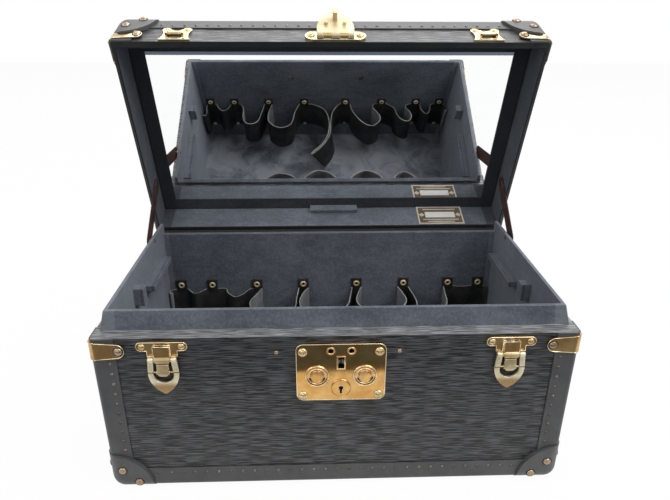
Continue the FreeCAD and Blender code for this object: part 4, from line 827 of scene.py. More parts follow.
@dataclass
class Rivets:
    """Domed brass rivets with a turned ring and a dimple."""

    finishes: Finishes
    steps: int = 20
    rise_share: float = 0.52
    spread: float = 1.12
    profile: Profile = ((0.99, -0.03), (0.99, 0.08), (0.93, 0.20), (0.82, 0.30), (0.73, 0.345), (0.68, 0.31),
                        (0.62, 0.35), (0.46, 0.44), (0.28, 0.495), (0.17, 0.49), (0.10, 0.42), (0.0, 0.40))
    # dark ring round each corner rivet's head: painted shade of the gap there
    seat: Profile = ((1.20, -0.06), (1.17, 0.035), (0.9, 0.035))
    skin: tuple[float, float, float] = (170.0 * MM, 95.0 * MM, 174.4 * MM)

    def places(self, node: str, lid: bool) -> list[Matrix]:
        """Where each rivet of a node sits, how large it is and which way it faces."""
        found = []
        for low, high in islands(node, lid):
            size = high - low
            centre = (low + high) / 2
            stand = [max(high[k], -low[k]) - self.skin[k] for k in range(3)]
            axis = stand.index(max(stand))
            radius = size[(axis + 1) % 3] / 2
            out = Vector((0.0, 0.0, 0.0))
            out[axis] = 1.0 if centre[axis] > 0.0 else -1.0
            end = high[axis] if out[axis] > 0 else low[axis]
            seat = centre.copy()
            seat[axis] = end - out[axis] * self.rise_share * radius
            turn = out.to_track_quat("Z", "Y").to_matrix().to_4x4()
            place = Matrix.Translation(seat) @ turn @ Matrix.Scale(radius * self.spread, 4)
            found.append(LID_TURN @ place if lid else place)
        return found

    def build(self) -> None:
        """Models one rivet and copies it to every seat."""
        sets = (("base_corner_rivets", False), ("base_hardware_rivets", False),
                ("lid_corner_rivets", True), ("lid_hardware_rivets", True))
        for node, lid in sets:
            master = Bench.lathe("rivet", self.profile, self.steps)
            Bench.smooth(master, 50.0)
            places = self.places(node, lid)
            rivets = Bench.stamp(master, node + "_turned", places)
            corner = "corner" in node
            body = Body.LID if lid else Body.BASE
            settle(dress(rivets, self.finishes["rivet_brass" if corner else "bright_brass"]), body, Slot.BRASS, node)
            # corner rivets get a dark ring under the head in the shadow finish: painted shade
            if corner:
                seat = Bench.lathe("rivet_shade_ring", self.seat, self.steps)
                shade_rings = Bench.stamp(seat, node + "_seats", places)
                settle(dress(shade_rings, self.finishes["shadow"]), body, Slot.EDGE)


@dataclass
class LidStraps:
    """Brass straps of the lid's corners, cut back where the moulded caps lie over them."""

    finishes: Finishes
    reach: float = 6.0
    past: float = 1.0
    ease: float = 0.02

    def build(self) -> None:
        """A merged copy of the straps, cut at each corner above the lowest edge of its cap."""
        level = min(low.z for low, _ in islands("lid_corner_caps", True)) / MM
        straps = Bench.shut_copy(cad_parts["lid_brass_corners"], "lid_brass_corners_cut", True, POINT)
        for low, high in islands("lid_brass_corners", True):
            ends = []
            for k in (0, 1):
                right = low[k] + high[k] > 0.0
                edge = (high[k] if right else low[k]) / MM
                ends.append((edge - self.reach, edge + self.past) if right else (edge - self.past, edge + self.reach))
            cutter = Bench.block("strap_cutter", (ends[0][0], ends[1][0], level),
                                 (ends[0][1], ends[1][1], high.z / MM + self.past), self.ease)
            Bench.modify(straps, "BOOLEAN", {"operation": "DIFFERENCE", "solver": "EXACT", "object": cutter})
            bpy.data.objects.remove(cutter)
        Bench.turned(straps, LID_TURN)
        Bench.smooth(straps, 30.0)
        dress(straps, self.finishes["lid_brass"])
        settle(straps, Body.LID, Slot.BRASS, "lid_brass_corners")


@dataclass
class EdgeBeads:
    """Bright worn edges: a fine bead along the outer edges of the brass plates."""

    finishes: Finishes
    radius: float = 0.30
    skin: tuple[float, float] = (170.5, 95.5)
    sharp: float = 0.6
    square: float = 0.98

    def build(self) -> None:
        """One bead piece for each plate."""
        for node in ("lock_plate", "clasp_plates", "base_brass_corners"):
            self.bead(node, Body.BASE, False)
        for node in ("hasp_plate", "catch_plates", "lid_brass_corners"):
            self.bead(node, Body.LID, True)

    def outer(self, polygon: bpy.types.MeshPolygon) -> bool:
        """Whether a face looks out from the front, the back or a side of the case."""
        normal, centre = polygon.normal, polygon.center
        return any(abs(normal[k]) > self.square and abs(centre[k]) > self.skin[k] * MM and normal[k] * centre[k] > 0.0
                   for k in (0, 1))

    def bead(self, node: str, body: Body, lid: bool) -> None:
        """Copies a plate, keeps only its outer edges and draws them out round.

        Args:
            node: The plate's CAD node.
            body: What the bead rides on.
            lid: Whether the plate is on the lid, whose edges are found with the lid shut.
        """
        source = bpy.data.objects.get(node + "_cut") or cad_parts[node]
        obj = Bench.shut_copy(source, node + "_edges", lid, 10 * POINT)
        sides: dict[tuple[int, int], list[bpy.types.MeshPolygon]] = {}
        for polygon in obj.data.polygons:
            for key in polygon.edge_keys:
                sides.setdefault(key, []).append(polygon)
        with Bench.editing(obj, "DESELECT", "EDGE"):
            bpy.ops.object.mode_set(mode="OBJECT")
            for edge in obj.data.edges:
                pair = sides.get(edge.key, [])
                sharp = len(pair) == 2 and pair[0].normal.dot(pair[1].normal) < self.sharp
                edge.select = not (sharp and any(self.outer(polygon) for polygon in pair))
            bpy.ops.object.mode_set(mode="EDIT")
            bpy.ops.mesh.delete(type="EDGE")
            bpy.ops.mesh.select_all(action="SELECT")
            bpy.ops.mesh.delete_loose(use_verts=True, use_edges=False, use_faces=False)
        bpy.ops.object.convert(target="CURVE")
        obj = bpy.context.object
        obj.data.bevel_depth = self.radius * MM
        obj.data.bevel_resolution = 1
        bpy.ops.object.convert(target="MESH")
        obj = bpy.context.object
        if lid:
            Bench.turned(obj, LID_TURN)
        Bench.smooth(obj, 70.0)
        dress(obj, self.finishes["rim_brass"])
        settle(obj, body, Slot.BRASS)


@dataclass
class LockDetail:
    """Turned trim on the lock plate: eyelets, slot frame, dished rings and the keyhole ring."""

    finishes: Finishes
    middle_x: float = 2.1
    rim_z: float = 133.4
    face: float = -96.5
    peg_x: float = 7.25
    peg_down: float = 11.4
    slot_down: float = 21.3
    slot: tuple[float, float] = (4.8, 9.7)
    slot_rim: float = 0.55
    button_x: float = 17.0
    button_down: float = 32.1
    key_down: float = 42.4
    key_r: float = 2.05
    key_slot: tuple[float, float] = (1.0, 6.4)
    frame_w: float = 0.85
    eyelet: Profile = ((2.2, -0.1), (2.2, 0.30), (2.45, 0.52), (2.8, 0.52), (3.1, 0.30), (3.15, -0.1))
    dish: Profile = ((8.9, -0.1), (8.8, 0.35), (8.3, 0.78), (7.7, 0.92), (7.1, 0.84), (6.25, 0.72), (5.4, 0.40),
                     (4.7, 0.16), (4.45, -0.1))
    key_ring: Profile = ((7.5, -0.1), (7.45, 0.40), (7.1, 0.66), (6.85, 0.60), (6.7, 0.30), (6.62, -0.1))

    def at(self, x: float, down: float) -> Matrix:
        """Place on the plate's face, sideways and down from its top middle, with Z outwards."""
        spot = Vector((self.middle_x + x, self.face, self.rim_z - down)) * MM
        return Matrix.Translation(spot) @ Matrix.Rotation(math.pi / 2, 4, "X")

    def turned_at(self, name: str, profile: Profile, spots: Sequence[tuple[float, float]], steps: int) -> None:
        """One ring on the lathe, copied to its places on the plate.

        Args:
            name: The piece's name.
            profile: Radius and height of each ring in millimetres.
            spots: Sideways and downward place of each copy from the top middle of the plate.
            steps: Corners of a ring.
        """
        ring = Bench.lathe(name, [(radius * MM, height * MM) for radius, height in profile], steps)
        Bench.smooth(ring, 50.0)
        rings = Bench.stamp(ring, name, [self.at(x, down) for x, down in spots])
        settle(dress(rings, self.finishes["brass"]), Body.BASE, Slot.BRASS)

    def build(self) -> None:
        """All the trim."""
        pegs, buttons = [[(side * x, down) for side in (-1, 1)] for x, down in
                         ((self.peg_x, self.peg_down), (self.button_x, self.button_down))]
        self.turned_at("peg_eyelets", self.eyelet, pegs, 28)
        self.turned_at("button_dishes", self.dish, buttons, 40)
        self.turned_at("keyhole_ring", self.key_ring, ((0.0, self.key_down),), 40)
        self.build_frame()
        self.build_keyhole()

    def build_keyhole(self) -> None:
        """Painted shade inside the keyhole: a dark round and a slot below it."""
        z = self.rim_z - self.key_down
        half, long = self.key_slot
        slot = Bench.block("keyhole_slot", (self.middle_x - half, self.face + 0.1, z - long),
                           (self.middle_x + half, self.face + 0.5, z), 0.05)
        settle(dress(slot, self.finishes["shadow"]), Body.BASE, Slot.BRASS)
        radius = self.key_r * MM
        disc = Bench.lathe("keyhole_round", ((radius, -0.4 * MM), (radius, -0.1 * MM), (0.0, -0.1 * MM)), 24)
        Bench.turned(disc, self.at(0.0, self.key_down))
        settle(dress(disc, self.finishes["shadow"]), Body.BASE, Slot.BRASS)

    def build_frame(self) -> None:
        """Raised frame round the staple slot: a block whose middle is inset and cut out."""
        half_w, half_h = (size / 2 + self.frame_w for size in self.slot)
        z = self.rim_z - self.slot_down
        frame_piece = Bench.block("slot_frame", (self.middle_x - half_w, self.face - 0.5, z - half_h),
                                  (self.middle_x + half_w, self.face + 0.1, z + half_h), 0.22)
        with Bench.picked(frame_piece, lambda polygon: abs(polygon.normal.y) > 0.99):
            bpy.ops.mesh.inset(thickness=self.slot_rim * MM, depth=0.0)
            bpy.ops.mesh.bridge_edge_loops()
        Bench.smooth(frame_piece, 40.0)
        settle(dress(frame_piece, self.finishes["brass"]), Body.BASE, Slot.BRASS)


@dataclass
class ClaspDetail:
    """Apron over each clasp's pivot, curled tongue of its hook and a dark block above its lug, painted shade of the
    slot there.
    """

    finishes: Finishes
    clasp_x: float = 121.0
    lug_top: float = 128.4
    slot_half: float = 4.2
    slot: tuple[tuple[float, float, float], ...] = ((-1.0, -98.0, -0.2), (1.0, -96.3, 0.12))
    apron_half: float = 5.1
    thickness: float = 0.3
    apron: Profile = ((120.4, -98.4), (119.4, -99.55), (118.6, -100.0), (117.6, -100.1), (116.6, -99.8),
                      (115.5, -99.1))
    tongue: tuple[tuple[float, float, float], ...] = (
        (3.9, 114.8, -99.3), (4.2, 113.6, -99.35), (4.2, 111.5, -99.5), (4.25, 109.6, -100.0), (4.2, 108.2, -100.3),
        (3.7, 106.8, -100.15), (2.7, 105.6, -99.7), (1.3, 104.9, -99.2))

    def sheet(self, name: str, x: float, lines: Sequence[tuple[float, float, float]]) -> Piece:
        """A bent sheet of brass: half width, height and depth of each line across it."""
        rows = [[Vector((x + half * share, y, z)) * MM for share in (-1.0, -0.5, 0.0, 0.5, 1.0)]
                for half, z, y in lines]
        piece = Bench.strip(name, rows)
        Bench.modify(piece, "SOLIDIFY", {"thickness": self.thickness * MM, "offset": 0.0})
        Bench.modify(piece, "SUBSURF", {"levels": 2, "render_levels": 2})
        Bench.smooth(piece, 50.0)
        return piece

    def build(self) -> None:
        """The pieces of both clasps."""
        f = self.finishes
        for side, hook in ((-1.0, Body.HOOK_LEFT), (1.0, Body.HOOK_RIGHT)):
            x = side * self.clasp_x
            apron = self.sheet("clasp_apron", x, [(self.apron_half, z, y) for z, y in self.apron])
            settle(dress(apron, f["hook_brass"]), Body.BASE, Slot.BRASS)
            tongue = self.sheet("clasp_tongue", x, self.tongue)
            settle(dress(tongue, f["hook_brass"]), hook, Slot.BRASS)
            # painted shade: a dark block stands for the shaded slot above the lug
            low, high = ((x + end * self.slot_half, y, self.lug_top + up) for end, y, up in self.slot)
            slot = Bench.block("clasp_slot", low, high, 0.1)
            settle(dress(slot, f["shadow"]), Body.BASE, Slot.BRASS)


@dataclass
class BottleLoops:
    """Leather bands on the front and rear walls, their tabs and ring snaps."""

    finishes: Finishes
    inner_x: float = 160.2
    front_wall: float = -77.6
    rear_wall: float = 84.0
    band_t: float = 1.5
    band_h: float = 38.5
    pad: float = 8.0
    pad_ease: float = 0.6
    front_tab_z: float = 79.4
    rear_tab_z: float = 83.4
    tab_w: float = 10.5
    tab_up: float = 5.3
    tab_down: float = 8.0
    tab_taper: float = 0.86
    tab_over: float = 1.0
    snap_r: float = 3.1
    snap_hole_r: float = 1.5
    snap_t: float = 1.1
    tab_shares: tuple[float, ...] = (-0.925, -0.735, -0.46, -0.172, 0.16, 0.455, 0.735, 0.925)
    low_snap: float = 41.0
    low_size: float = 0.68
    slack_loop: int = 4
    slack_sag: float = 17.0
    slack_back: float = 8.0
    slack_aside: float = 16.0
    full_reach: float = 20.0
    sag_power: float = 1.6
    sheet_share: float = 0.68
    front_plan: tuple[Profile, ...] = (
        ((-0.14, 0.0), (-0.17, 6.0), (-0.15, 13.0), (-0.22, 17.0), (-0.33, 16.0)),
        ((0.22, 0.0), (0.36, 7.0), (0.54, 10.5), (0.72, 7.5), (0.84, 1.0)),
        ((0.18, 0.0), (0.27, 8.0), (0.265, 21.0), (0.33, 29.0), (0.50, 32.0), (0.70, 27.5), (0.80, 14.0),
         (0.87, 1.0)),
        ((0.10, 0.0), (0.0, 15.0), (0.03, 29.0), (0.32, 37.5), (0.63, 31.5), (0.74, 13.0), (0.87, 0.0)),
        ((0.17, 0.0), (0.47, 8.0), (0.595, 24.0), (0.57, 42.0), (0.42, 55.0), (0.20, 64.5), (0.165, 66.5),
         (0.215, 66.5), (0.455, 56.0), (0.615, 42.5), (0.64, 25.0), (0.70, 11.0), (0.85, 0.0)),
        ((0.13, 0.0), (0.22, 14.0), (0.46, 28.5), (0.72, 33.5), (0.915, 27.0), (0.94, 19.0), (0.82, 10.0),
         (0.75, 4.0), (0.80, 0.0)),
        ((0.15, 0.0), (0.36, 6.5), (0.43, 17.0), (0.546, 24.0), (0.73, 27.0), (0.845, 22.0), (0.82, 13.0),
         (0.72, 7.0), (0.71, 2.5), (0.82, 0.0)),
        ((0.17, 0.0), (0.24, 10.0), (0.43, 16.0), (0.585, 11.0), (0.64, 2.0), (0.76, 0.0)),
        ((0.14, 0.0), (0.27, 2.6), (0.36, 7.0), (0.31, 10.6), (0.23, 9.2)))
    rear_plan: tuple[Profile, ...] = (
        ((-0.14, 0.0), (-0.26, 2.0), (-0.35, 6.0), (-0.31, 9.0), (-0.25, 7.5)),
        ((0.20, 0.0), (0.34, 6.0), (0.49, 9.5), (0.65, 6.0), (0.78, 0.8)),
        ((0.12, 0.0), (0.30, 0.8), (0.37, 8.5), (0.55, 15.0), (0.72, 10.0), (0.80, 4.0), (0.90, 0.6)),
        ((0.11, 0.0), (0.02, 12.0), (-0.10, 27.0), (0.0, 41.0), (0.30, 50.0), (0.64, 47.0), (0.84, 36.0),
         (0.865, 21.0), (0.895, 6.0), (0.905, 0.0)),
        ((0.10, 0.0), (0.0, 12.0), (-0.06, 28.0), (0.02, 43.0), (0.28, 53.0), (0.58, 49.0), (0.80, 35.0),
         (0.87, 18.0), (0.91, 5.0), (0.915, 0.0)),
        ((0.11, 0.0), (0.03, 12.0), (-0.03, 28.0), (0.10, 43.0), (0.44, 52.0), (0.80, 45.0), (0.985, 29.0),
         (0.95, 13.0), (0.895, 3.0), (0.89, 0.0)),
        ((0.11, 0.0), (0.16, 14.0), (0.20, 29.0), (0.20, 42.0), (0.42, 50.0), (0.66, 46.0), (0.84, 34.0),
         (0.88, 18.0), (0.905, 4.0), (0.91, 0.0)),
        ((0.18, 0.0), (0.34, 1.0), (0.5, 1.6), (0.66, 1.0), (0.82, 0.0)),
        ((0.14, 0.0), (0.24, 0.6), (0.34, 2.4)))

    def build(self) -> None:
        """Both bands, then tabs and snaps."""
        self.build_band("front", self.front_wall, 1.0, self.front_plan)
        self.build_band("rear", self.rear_wall, -1.0, self.rear_plan)
        self.build_tabs()
        self.build_snaps()

    def tab_xs(self) -> list[float]:
        """Places of the tabs along the wall."""
        return [share * self.inner_x for share in self.tab_shares]

    @staticmethod
    def eased(knots: Sequence[tuple[float, float]], cuts: int = 5) -> list[tuple[float, float]]:
        """Smooth curve through the knots of a plan."""
        points = [knots[0]]
        for i in range(len(knots) - 1):
            a, b, c, d = (knots[max(i - 1, 0)], knots[i], knots[i + 1], knots[min(i + 2, len(knots) - 1)])
            for step in range(1, cuts + 1):
                t = step / cuts
                points.append(tuple(
                    0.5 * (2 * b[k] + (c[k] - a[k]) * t + (2 * a[k] - 5 * b[k] + 4 * c[k] - d[k]) * t * t
                           + (3 * b[k] - a[k] - 3 * c[k] + d[k]) * t ** 3) for k in (0, 1)))
        return points

    def band_points(self, loops: Sequence[Profile], inward: float) -> list[tuple[float, float, float, float, float]]:
        """Plan of a whole band: along and out from the wall, how far it sags, leans back and leans aside."""
        xs = self.tab_xs()
        half = self.pad / 2 - self.pad_ease
        found = []
        for i, knots in enumerate(loops):
            start, span = xs[max(i - 1, 0)], xs[1] - xs[0]
            if 0 < i < len(xs):
                span = xs[i] - start
            curve = self.eased([(start + share * span, out) for share, out in knots])
            slack = inward > 0 and i == self.slack_loop
            reach = max(out for _, out in knots)
            for along, out in reversed(curve) if i == 0 else curve:
                share = max(out, 0.0) / reach * min(reach / self.full_reach, 1.0)
                sag = share ** self.sag_power * (self.slack_sag if slack else 2.2 + 1.2 * math.sin(5.0 * i + inward))
                back = share * (self.slack_back if slack else 1.0 + 1.5 * math.sin(3.1 * i + 1.0))
                found.append((along, max(out, 0.0), sag, back, share ** 2 * self.slack_aside if slack else 0.0))
            if i < len(xs):
                found += [(xs[i] - half + half * step, 0.0, 0.0, 0.0, 0.0) for step in range(3)]
        return found

    def build_band(self, name: str, wall: float, inward: float, loops: Sequence[Profile]) -> None:
        """One band: a strip that lies flat at each tab and swings out between them.

        Args:
            name: Which band.
            wall: Where the wall is.
            inward: Which way the room lies.
            loops: Plan of both ends and of each loop: share of the way to the next tab, and out from the wall.
        """
        tab_z = self.front_tab_z if inward > 0 else self.rear_tab_z
        high = tab_z - self.tab_up + self.tab_over
        rows = []
        for along, out, sag, back, aside in self.band_points(loops, inward):
            row = []
            for k in range(4):
                down = 1 - k / 3
                y = wall + inward * (max(out - back * down, 0.0) + self.band_t / 2)
                row.append(Vector((along + aside * down, y, high - self.band_h * down - sag)) * MM)
            rows.append(row)
        band = Bench.strip(name + "_bottle_band", rows)
        f = self.finishes
        faces = (f["band"], f["band_back"]) if inward > 0 else (f["band_back"], f["band"])
        dress(band, *faces, f["band_edge"])
        Bench.modify(band, "SOLIDIFY", {"thickness": self.band_t * self.sheet_share * MM, "offset": 0.0,
                                        "material_offset": 1, "material_offset_rim": 2})
        Bench.round_off(band, 0.25)
        settle(band, Body.BASE, Slot.BAND, name + "_loop_band")

    def tab_places(self, lower: float = 0.0) -> list[Matrix]:
        """Place of each tab: the snap's centre on the wall, facing inwards, or so much lower."""
        places = []
        for wall, inward, z in ((self.front_wall, 1.0, self.front_tab_z), (self.rear_wall, -1.0, self.rear_tab_z)):
            for x in self.tab_xs():
                turn = Matrix.Rotation(math.pi if inward > 0 else 0.0, 4, "Z")
                places.append(Matrix.Translation(Vector((x, wall, z - lower)) * MM) @ turn)
        return places

    def build_tabs(self) -> None:
        """One tab from a block, drawn in below and eased, copied to all places."""
        half = self.tab_w / 2
        tab = Bench.block("tab", (-half, -self.band_t, -self.tab_down), (half, 0.0, self.tab_up), 0.45)
        with Bench.picked(tab, lambda polygon: polygon.normal.z < -0.9):
            bpy.ops.transform.resize(value=(self.tab_taper, 1.0, 1.0))
        tabs = Bench.stamp(tab, "loop_tabs_cut", self.tab_places())
        Bench.smooth(tabs, 50.0)
        settle(dress(tabs, self.finishes["band"]), Body.BASE, Slot.BAND, "loop_tabs")

    def build_snaps(self) -> None:
        """One ring snap on the lathe, copied to all tabs."""
        hole, out, top = self.snap_hole_r * MM, self.snap_r * MM, self.snap_t * MM
        profile = ((hole, 0.0), (hole, top * 0.72), (hole * 1.18, top * 0.98), (out * 0.72, top),
                   (out * 0.90, top * 0.78), (out, top * 0.25), (out, 0.0))
        snap = Bench.lathe("snap", profile, 24)
        Bench.smooth(snap, 45.0)
        lift = Matrix.Translation((0.0, -self.band_t * MM, 0.0)) @ Matrix.Rotation(math.pi / 2, 4, "X")
        snaps = Bench.stamp(snap, "loop_snaps_turned", [
            place @ lift @ Matrix.Scale(size, 4)
            for lower, size in ((0.0, 1.0), (self.low_snap, self.low_size)) for place in self.tab_places(lower)])
        settle(dress(snaps, self.finishes["ring_brass"]), Body.BASE, Slot.BRASS, "loop_snaps")


@dataclass
class LidStays:
    """Brown leather stays beside the lid, laid straight as with it open."""

    finishes: Finishes
    outer_x: float = 165.7
    thickness: float = 0.8
    sheet_share: float = 0.9
    width: float = 13.0
    base_end: tuple[float, float] = (53.5, 143.4)
    lid_end: tuple[float, float] = (98.53, 181.67)
    firm: float = 5.0
    steps: int = 40

    def build(self) -> None:
        """Both stays."""
        for side, name in ((-1.0, "left"), (1.0, "right")):
            self.build_stay(side, name)

    def build_stay(self, side: float, name: str) -> None:
        """One strip with round ends, given its thickness and laid straight across the hinge."""
        start = Vector((0.0, *self.base_end))
        run = Vector((0.0, *self.lid_end)) - start
        along = run.normalized()
        across = Vector((0.0, -along.z, along.y))
        half = self.width / 2
        total = run.length + 2 * half
        x = side * (self.outer_x - self.thickness / 2)
        rows = []
        for i in range(self.steps + 1):
            t = i / self.steps
            reach = -half * 0.995 + (total - half * 0.01) * (0.5 - 0.5 * math.cos(math.pi * t))
            past = max(-reach, reach - run.length, 0.0)
            wide = math.sqrt(max(half * half - past * past, 0.01))
            spots = [start + along * reach + across * (wide * (k / 3 - 1)) for k in range(7)]
            rows.append([Vector((x, spot.y, spot.z)) * MM for spot in spots])
        stay = Bench.strip("stay_" + name, rows)
        Bench.modify(stay, "SOLIDIFY", {"thickness": self.thickness * self.sheet_share * MM, "offset": 0.0})
        Bench.round_off(stay, 0.18)
        dress(stay, self.finishes["stay"])
        low, high = start + along * self.firm, start + along * (run.length - self.firm)
        fold(stay, Slot.STAY, low, high, "lid_stay_" + name)


@dataclass
class HingeStrip:
    """Narrow leather strip that closes the slit between base and lid inside the hinge."""

    finishes: Finishes
    half_length: float = 168.0
    foot: tuple[float, float] = (95.0, 133.2)
    head: tuple[float, float] = (96.1, 136.6)
    thickness: float = 0.3
    steps: int = 24

    def build(self) -> None:
        """A low sheet along the rear rim, given its thickness and laid straight across the hinge."""
        heights = [[a + (b - a) * k / 4 for a, b in zip(self.foot, self.head)] for k in range(5)]
        places = [self.half_length * (2 * i / self.steps - 1) for i in range(self.steps + 1)]
        strip = Bench.strip("hinge_strip", [[Vector((x, y, z)) * MM for y, z in heights] for x in places])
        Bench.modify(strip, "SOLIDIFY", {"thickness": self.thickness * MM, "offset": 0.0})
        Bench.smooth(strip, 40.0)
        # near-black rim leather: painted shade in the slit
        dress(strip, self.finishes["rim"])
        fold(strip, Slot.EDGE, Vector((0.0, *self.foot)), Vector((0.0, *self.head)))


@dataclass
class CarryHandle:
    """Stitched leather grip between brass ends on top of the lid."""

    finishes: Finishes
    span: float = 104.0
    reach: float = 36.0
    bend: float = 20.0
    near: float = 7.0
    radius: float = 6.5
    axis_y: float = -14.0
    axis_z: float = 182.6
    stitch_pitch: float = 3.6
    stitch_angle: float = 0.55
    stitch_from: float = 6.0
    stitch_seat: float = 0.995
    corners: int = 24
    end_share: float = 0.80
    swell: float = 0.19
    seam_rise: float = 0.06
    seam_width: float = 0.25

    def path(self) -> list[Vector]:
        """Middle line of the grip with the lid shut."""
        half = self.span / 2
        line = [Vector((-half, y, 0.0)) for y in (self.near, self.near + 3.0, self.reach - self.bend)]
        for i in range(1, 9):
            angle = math.pi / 2 * i / 8
            line.append(Vector((-half + self.bend * (1 - math.cos(angle)),
                                self.reach - self.bend * (1 - math.sin(angle)), 0.0)))
        for i in range(1, 8):
            line.append(Vector((-half + self.bend + (self.span - 2 * self.bend) * i / 16, self.reach, 0.0)))
        mirrored = [Vector((-p.x, p.y, p.z)) for p in reversed(line)]
        return line + [Vector((0.0, self.reach, 0.0))] + mirrored

    def build(self) -> None:
        """Grip as a strip wrapped round the line, then the row of stitches."""
        line = self.path()
        lift = Vector((0.0, self.axis_y, self.axis_z))
        rows = []
        for i, point in enumerate(line):
            ahead = (line[min(i + 1, len(line) - 1)] - line[max(i - 1, 0)]).normalized()
            out = Vector((ahead.y, -ahead.x, 0.0))
            share = min(i, len(line) - 1 - i) / (len(line) / 2)
            full = self.radius * (self.end_share + self.swell * min(share * 2.2, 1.0))
            row = []
            for k in range(self.corners + 1):
                angle = 2 * math.pi * k / self.corners
                seam = 1.0 + self.seam_rise * math.exp(-((angle - math.pi) / self.seam_width) ** 2)
                offset = out * (-math.cos(angle) * full * seam) + Vector((0.0, 0.0, math.sin(angle) * full))
                row.append((point + offset + lift) * MM)
            rows.append(row)
        grip = Bench.strip("grip_sewn", rows)
        Bench.weld(grip, POINT)
        with Bench.editing(grip, "DESELECT", "EDGE"):
            bpy.ops.mesh.select_non_manifold()
            bpy.ops.mesh.edge_face_add()
        Bench.weld(grip, POINT)
        Bench.smooth(grip, 60.0)
        Bench.turned(grip, LID_TURN)
        settle(dress(grip, self.finishes["grip"]), Body.HANDLE, Slot.EDGE, "handle_grip")
        self.build_stitches(line, lift)

    def build_stitches(self, line: Sequence[Vector], lift: Vector) -> None:
        """Short threads along both sides of the seam, modelled once and copied."""
        stitch = Bench.block("stitch", (-1.15, -0.32, -0.25), (1.15, 0.32, 0.3), 0.16)
        places = []
        carried = 0.0
        for a, b in zip(line, line[1:]):
            length = (b - a).length
            while carried < length:
                point = a.lerp(b, carried / length)
                ahead = (b - a).normalized()
                out = Vector((ahead.y, -ahead.x, 0.0))
                if self.near + self.stitch_from < point.y:
                    for angle in (math.pi - self.stitch_angle, math.pi + self.stitch_angle):
                        normal = out * -math.cos(angle) + Vector((0.0, 0.0, math.sin(angle)))
                        spot = (point + normal * self.radius * self.stitch_seat + lift) * MM
                        turn = Matrix((ahead, normal.cross(ahead), normal)).transposed().to_4x4()
                        places.append(LID_TURN @ Matrix.Translation(spot) @ turn)
                carried += self.stitch_pitch
            carried -= length
        threads = Bench.stamp(stitch, "grip_stitches", places)
        Bench.smooth(threads, 60.0)
        settle(dress(threads, self.finishes["thread"]), Body.HANDLE, Slot.EDGE)


@dataclass
class InsideLabel:
    """Plain leather label on the rear wall of the lid: a pale border, a blank ivory bar and plain rules."""

    finishes: Finishes
    middle_x: float = 110.5
    width: float = 45.5
    height: float = 26.5
    low: float = 135.4
    wall: float = 90.0
    thickness: float = 0.7
    border: float = 1.3
    field_depth: float = 0.12
    sunk: float = 0.3
    bars: tuple[tuple[str, float, float, float, float, float], ...] = (
        ("bar", 30.0, 8.6, 0.52, 0.15, 0.12), ("upper_rule", 33.0, 1.7, 0.83, 0.1, 0.1),
        ("lower_rule", 36.0, 1.1, 0.245, 0.1, 0.1), ("foot_rule", 27.0, 1.1, 0.13, 0.1, 0.1))
    lozenge_half: float = 2.15
    lozenge_x: float = 18.4

    def build(self) -> None:
        """Plate with an inset field, a raised bar, three thin rules and two lozenges."""
        f = self.finishes
        x0, x1 = self.middle_x - self.width / 2, self.middle_x + self.width / 2
        face = self.wall - self.thickness
        label = Bench.block("label_leather", (x0, face, self.low), (x1, self.wall, self.low + self.height), 0.2)
        with Bench.picked(label, lambda polygon: polygon.normal.y < -0.99):
            bpy.ops.mesh.inset(thickness=self.border * MM, depth=-self.field_depth * MM)
        dress(label, f["label_field"], f["label_border"])
        for polygon in label.data.polygons:
            polygon.material_index = 0 if polygon.select else 1
        pieces = [label]
        for name, width, height, share, lift, ease in self.bars:
            level = self.low + self.height * share
            bar = Bench.block("label_" + name, (self.middle_x - width / 2, face - lift, level - height / 2),
                              (self.middle_x + width / 2, face + self.sunk, level + height / 2), ease)
            pieces.append(dress(bar, f["label_bar" if name == "bar" else "label_border"]))
        mid = self.low + self.height * self.bars[0][3]
        pieces += [self.lozenge(side, face, mid) for side in (-1.0, 1.0)]
        for piece in pieces:
            Bench.turned(piece, LID_TURN)
            Bench.smooth(piece, 40.0)
        settle(label, Body.LID, Slot.STAY, "label_plate")
        for piece in pieces[1:]:
            settle(piece, Body.LID, Slot.STAY)

    def lozenge(self, side: float, face: float, mid: float) -> Piece:
        """Small pale lozenge beside the bar, a thin block turned on its corner."""
        half = self.lozenge_half
        piece = Bench.block("label_lozenge", (-half, -0.1, -half), (half, self.sunk, half), 0.1)
        at = Vector((self.middle_x + side * self.lozenge_x, face, mid)) * MM
        Bench.turned(piece, Matrix.Translation(at) @ Matrix.Rotation(math.pi / 4, 4, "Y"))
        return dress(piece, self.finishes["label_border"])


# ------------------------------------------------------------------------------------------------ studio


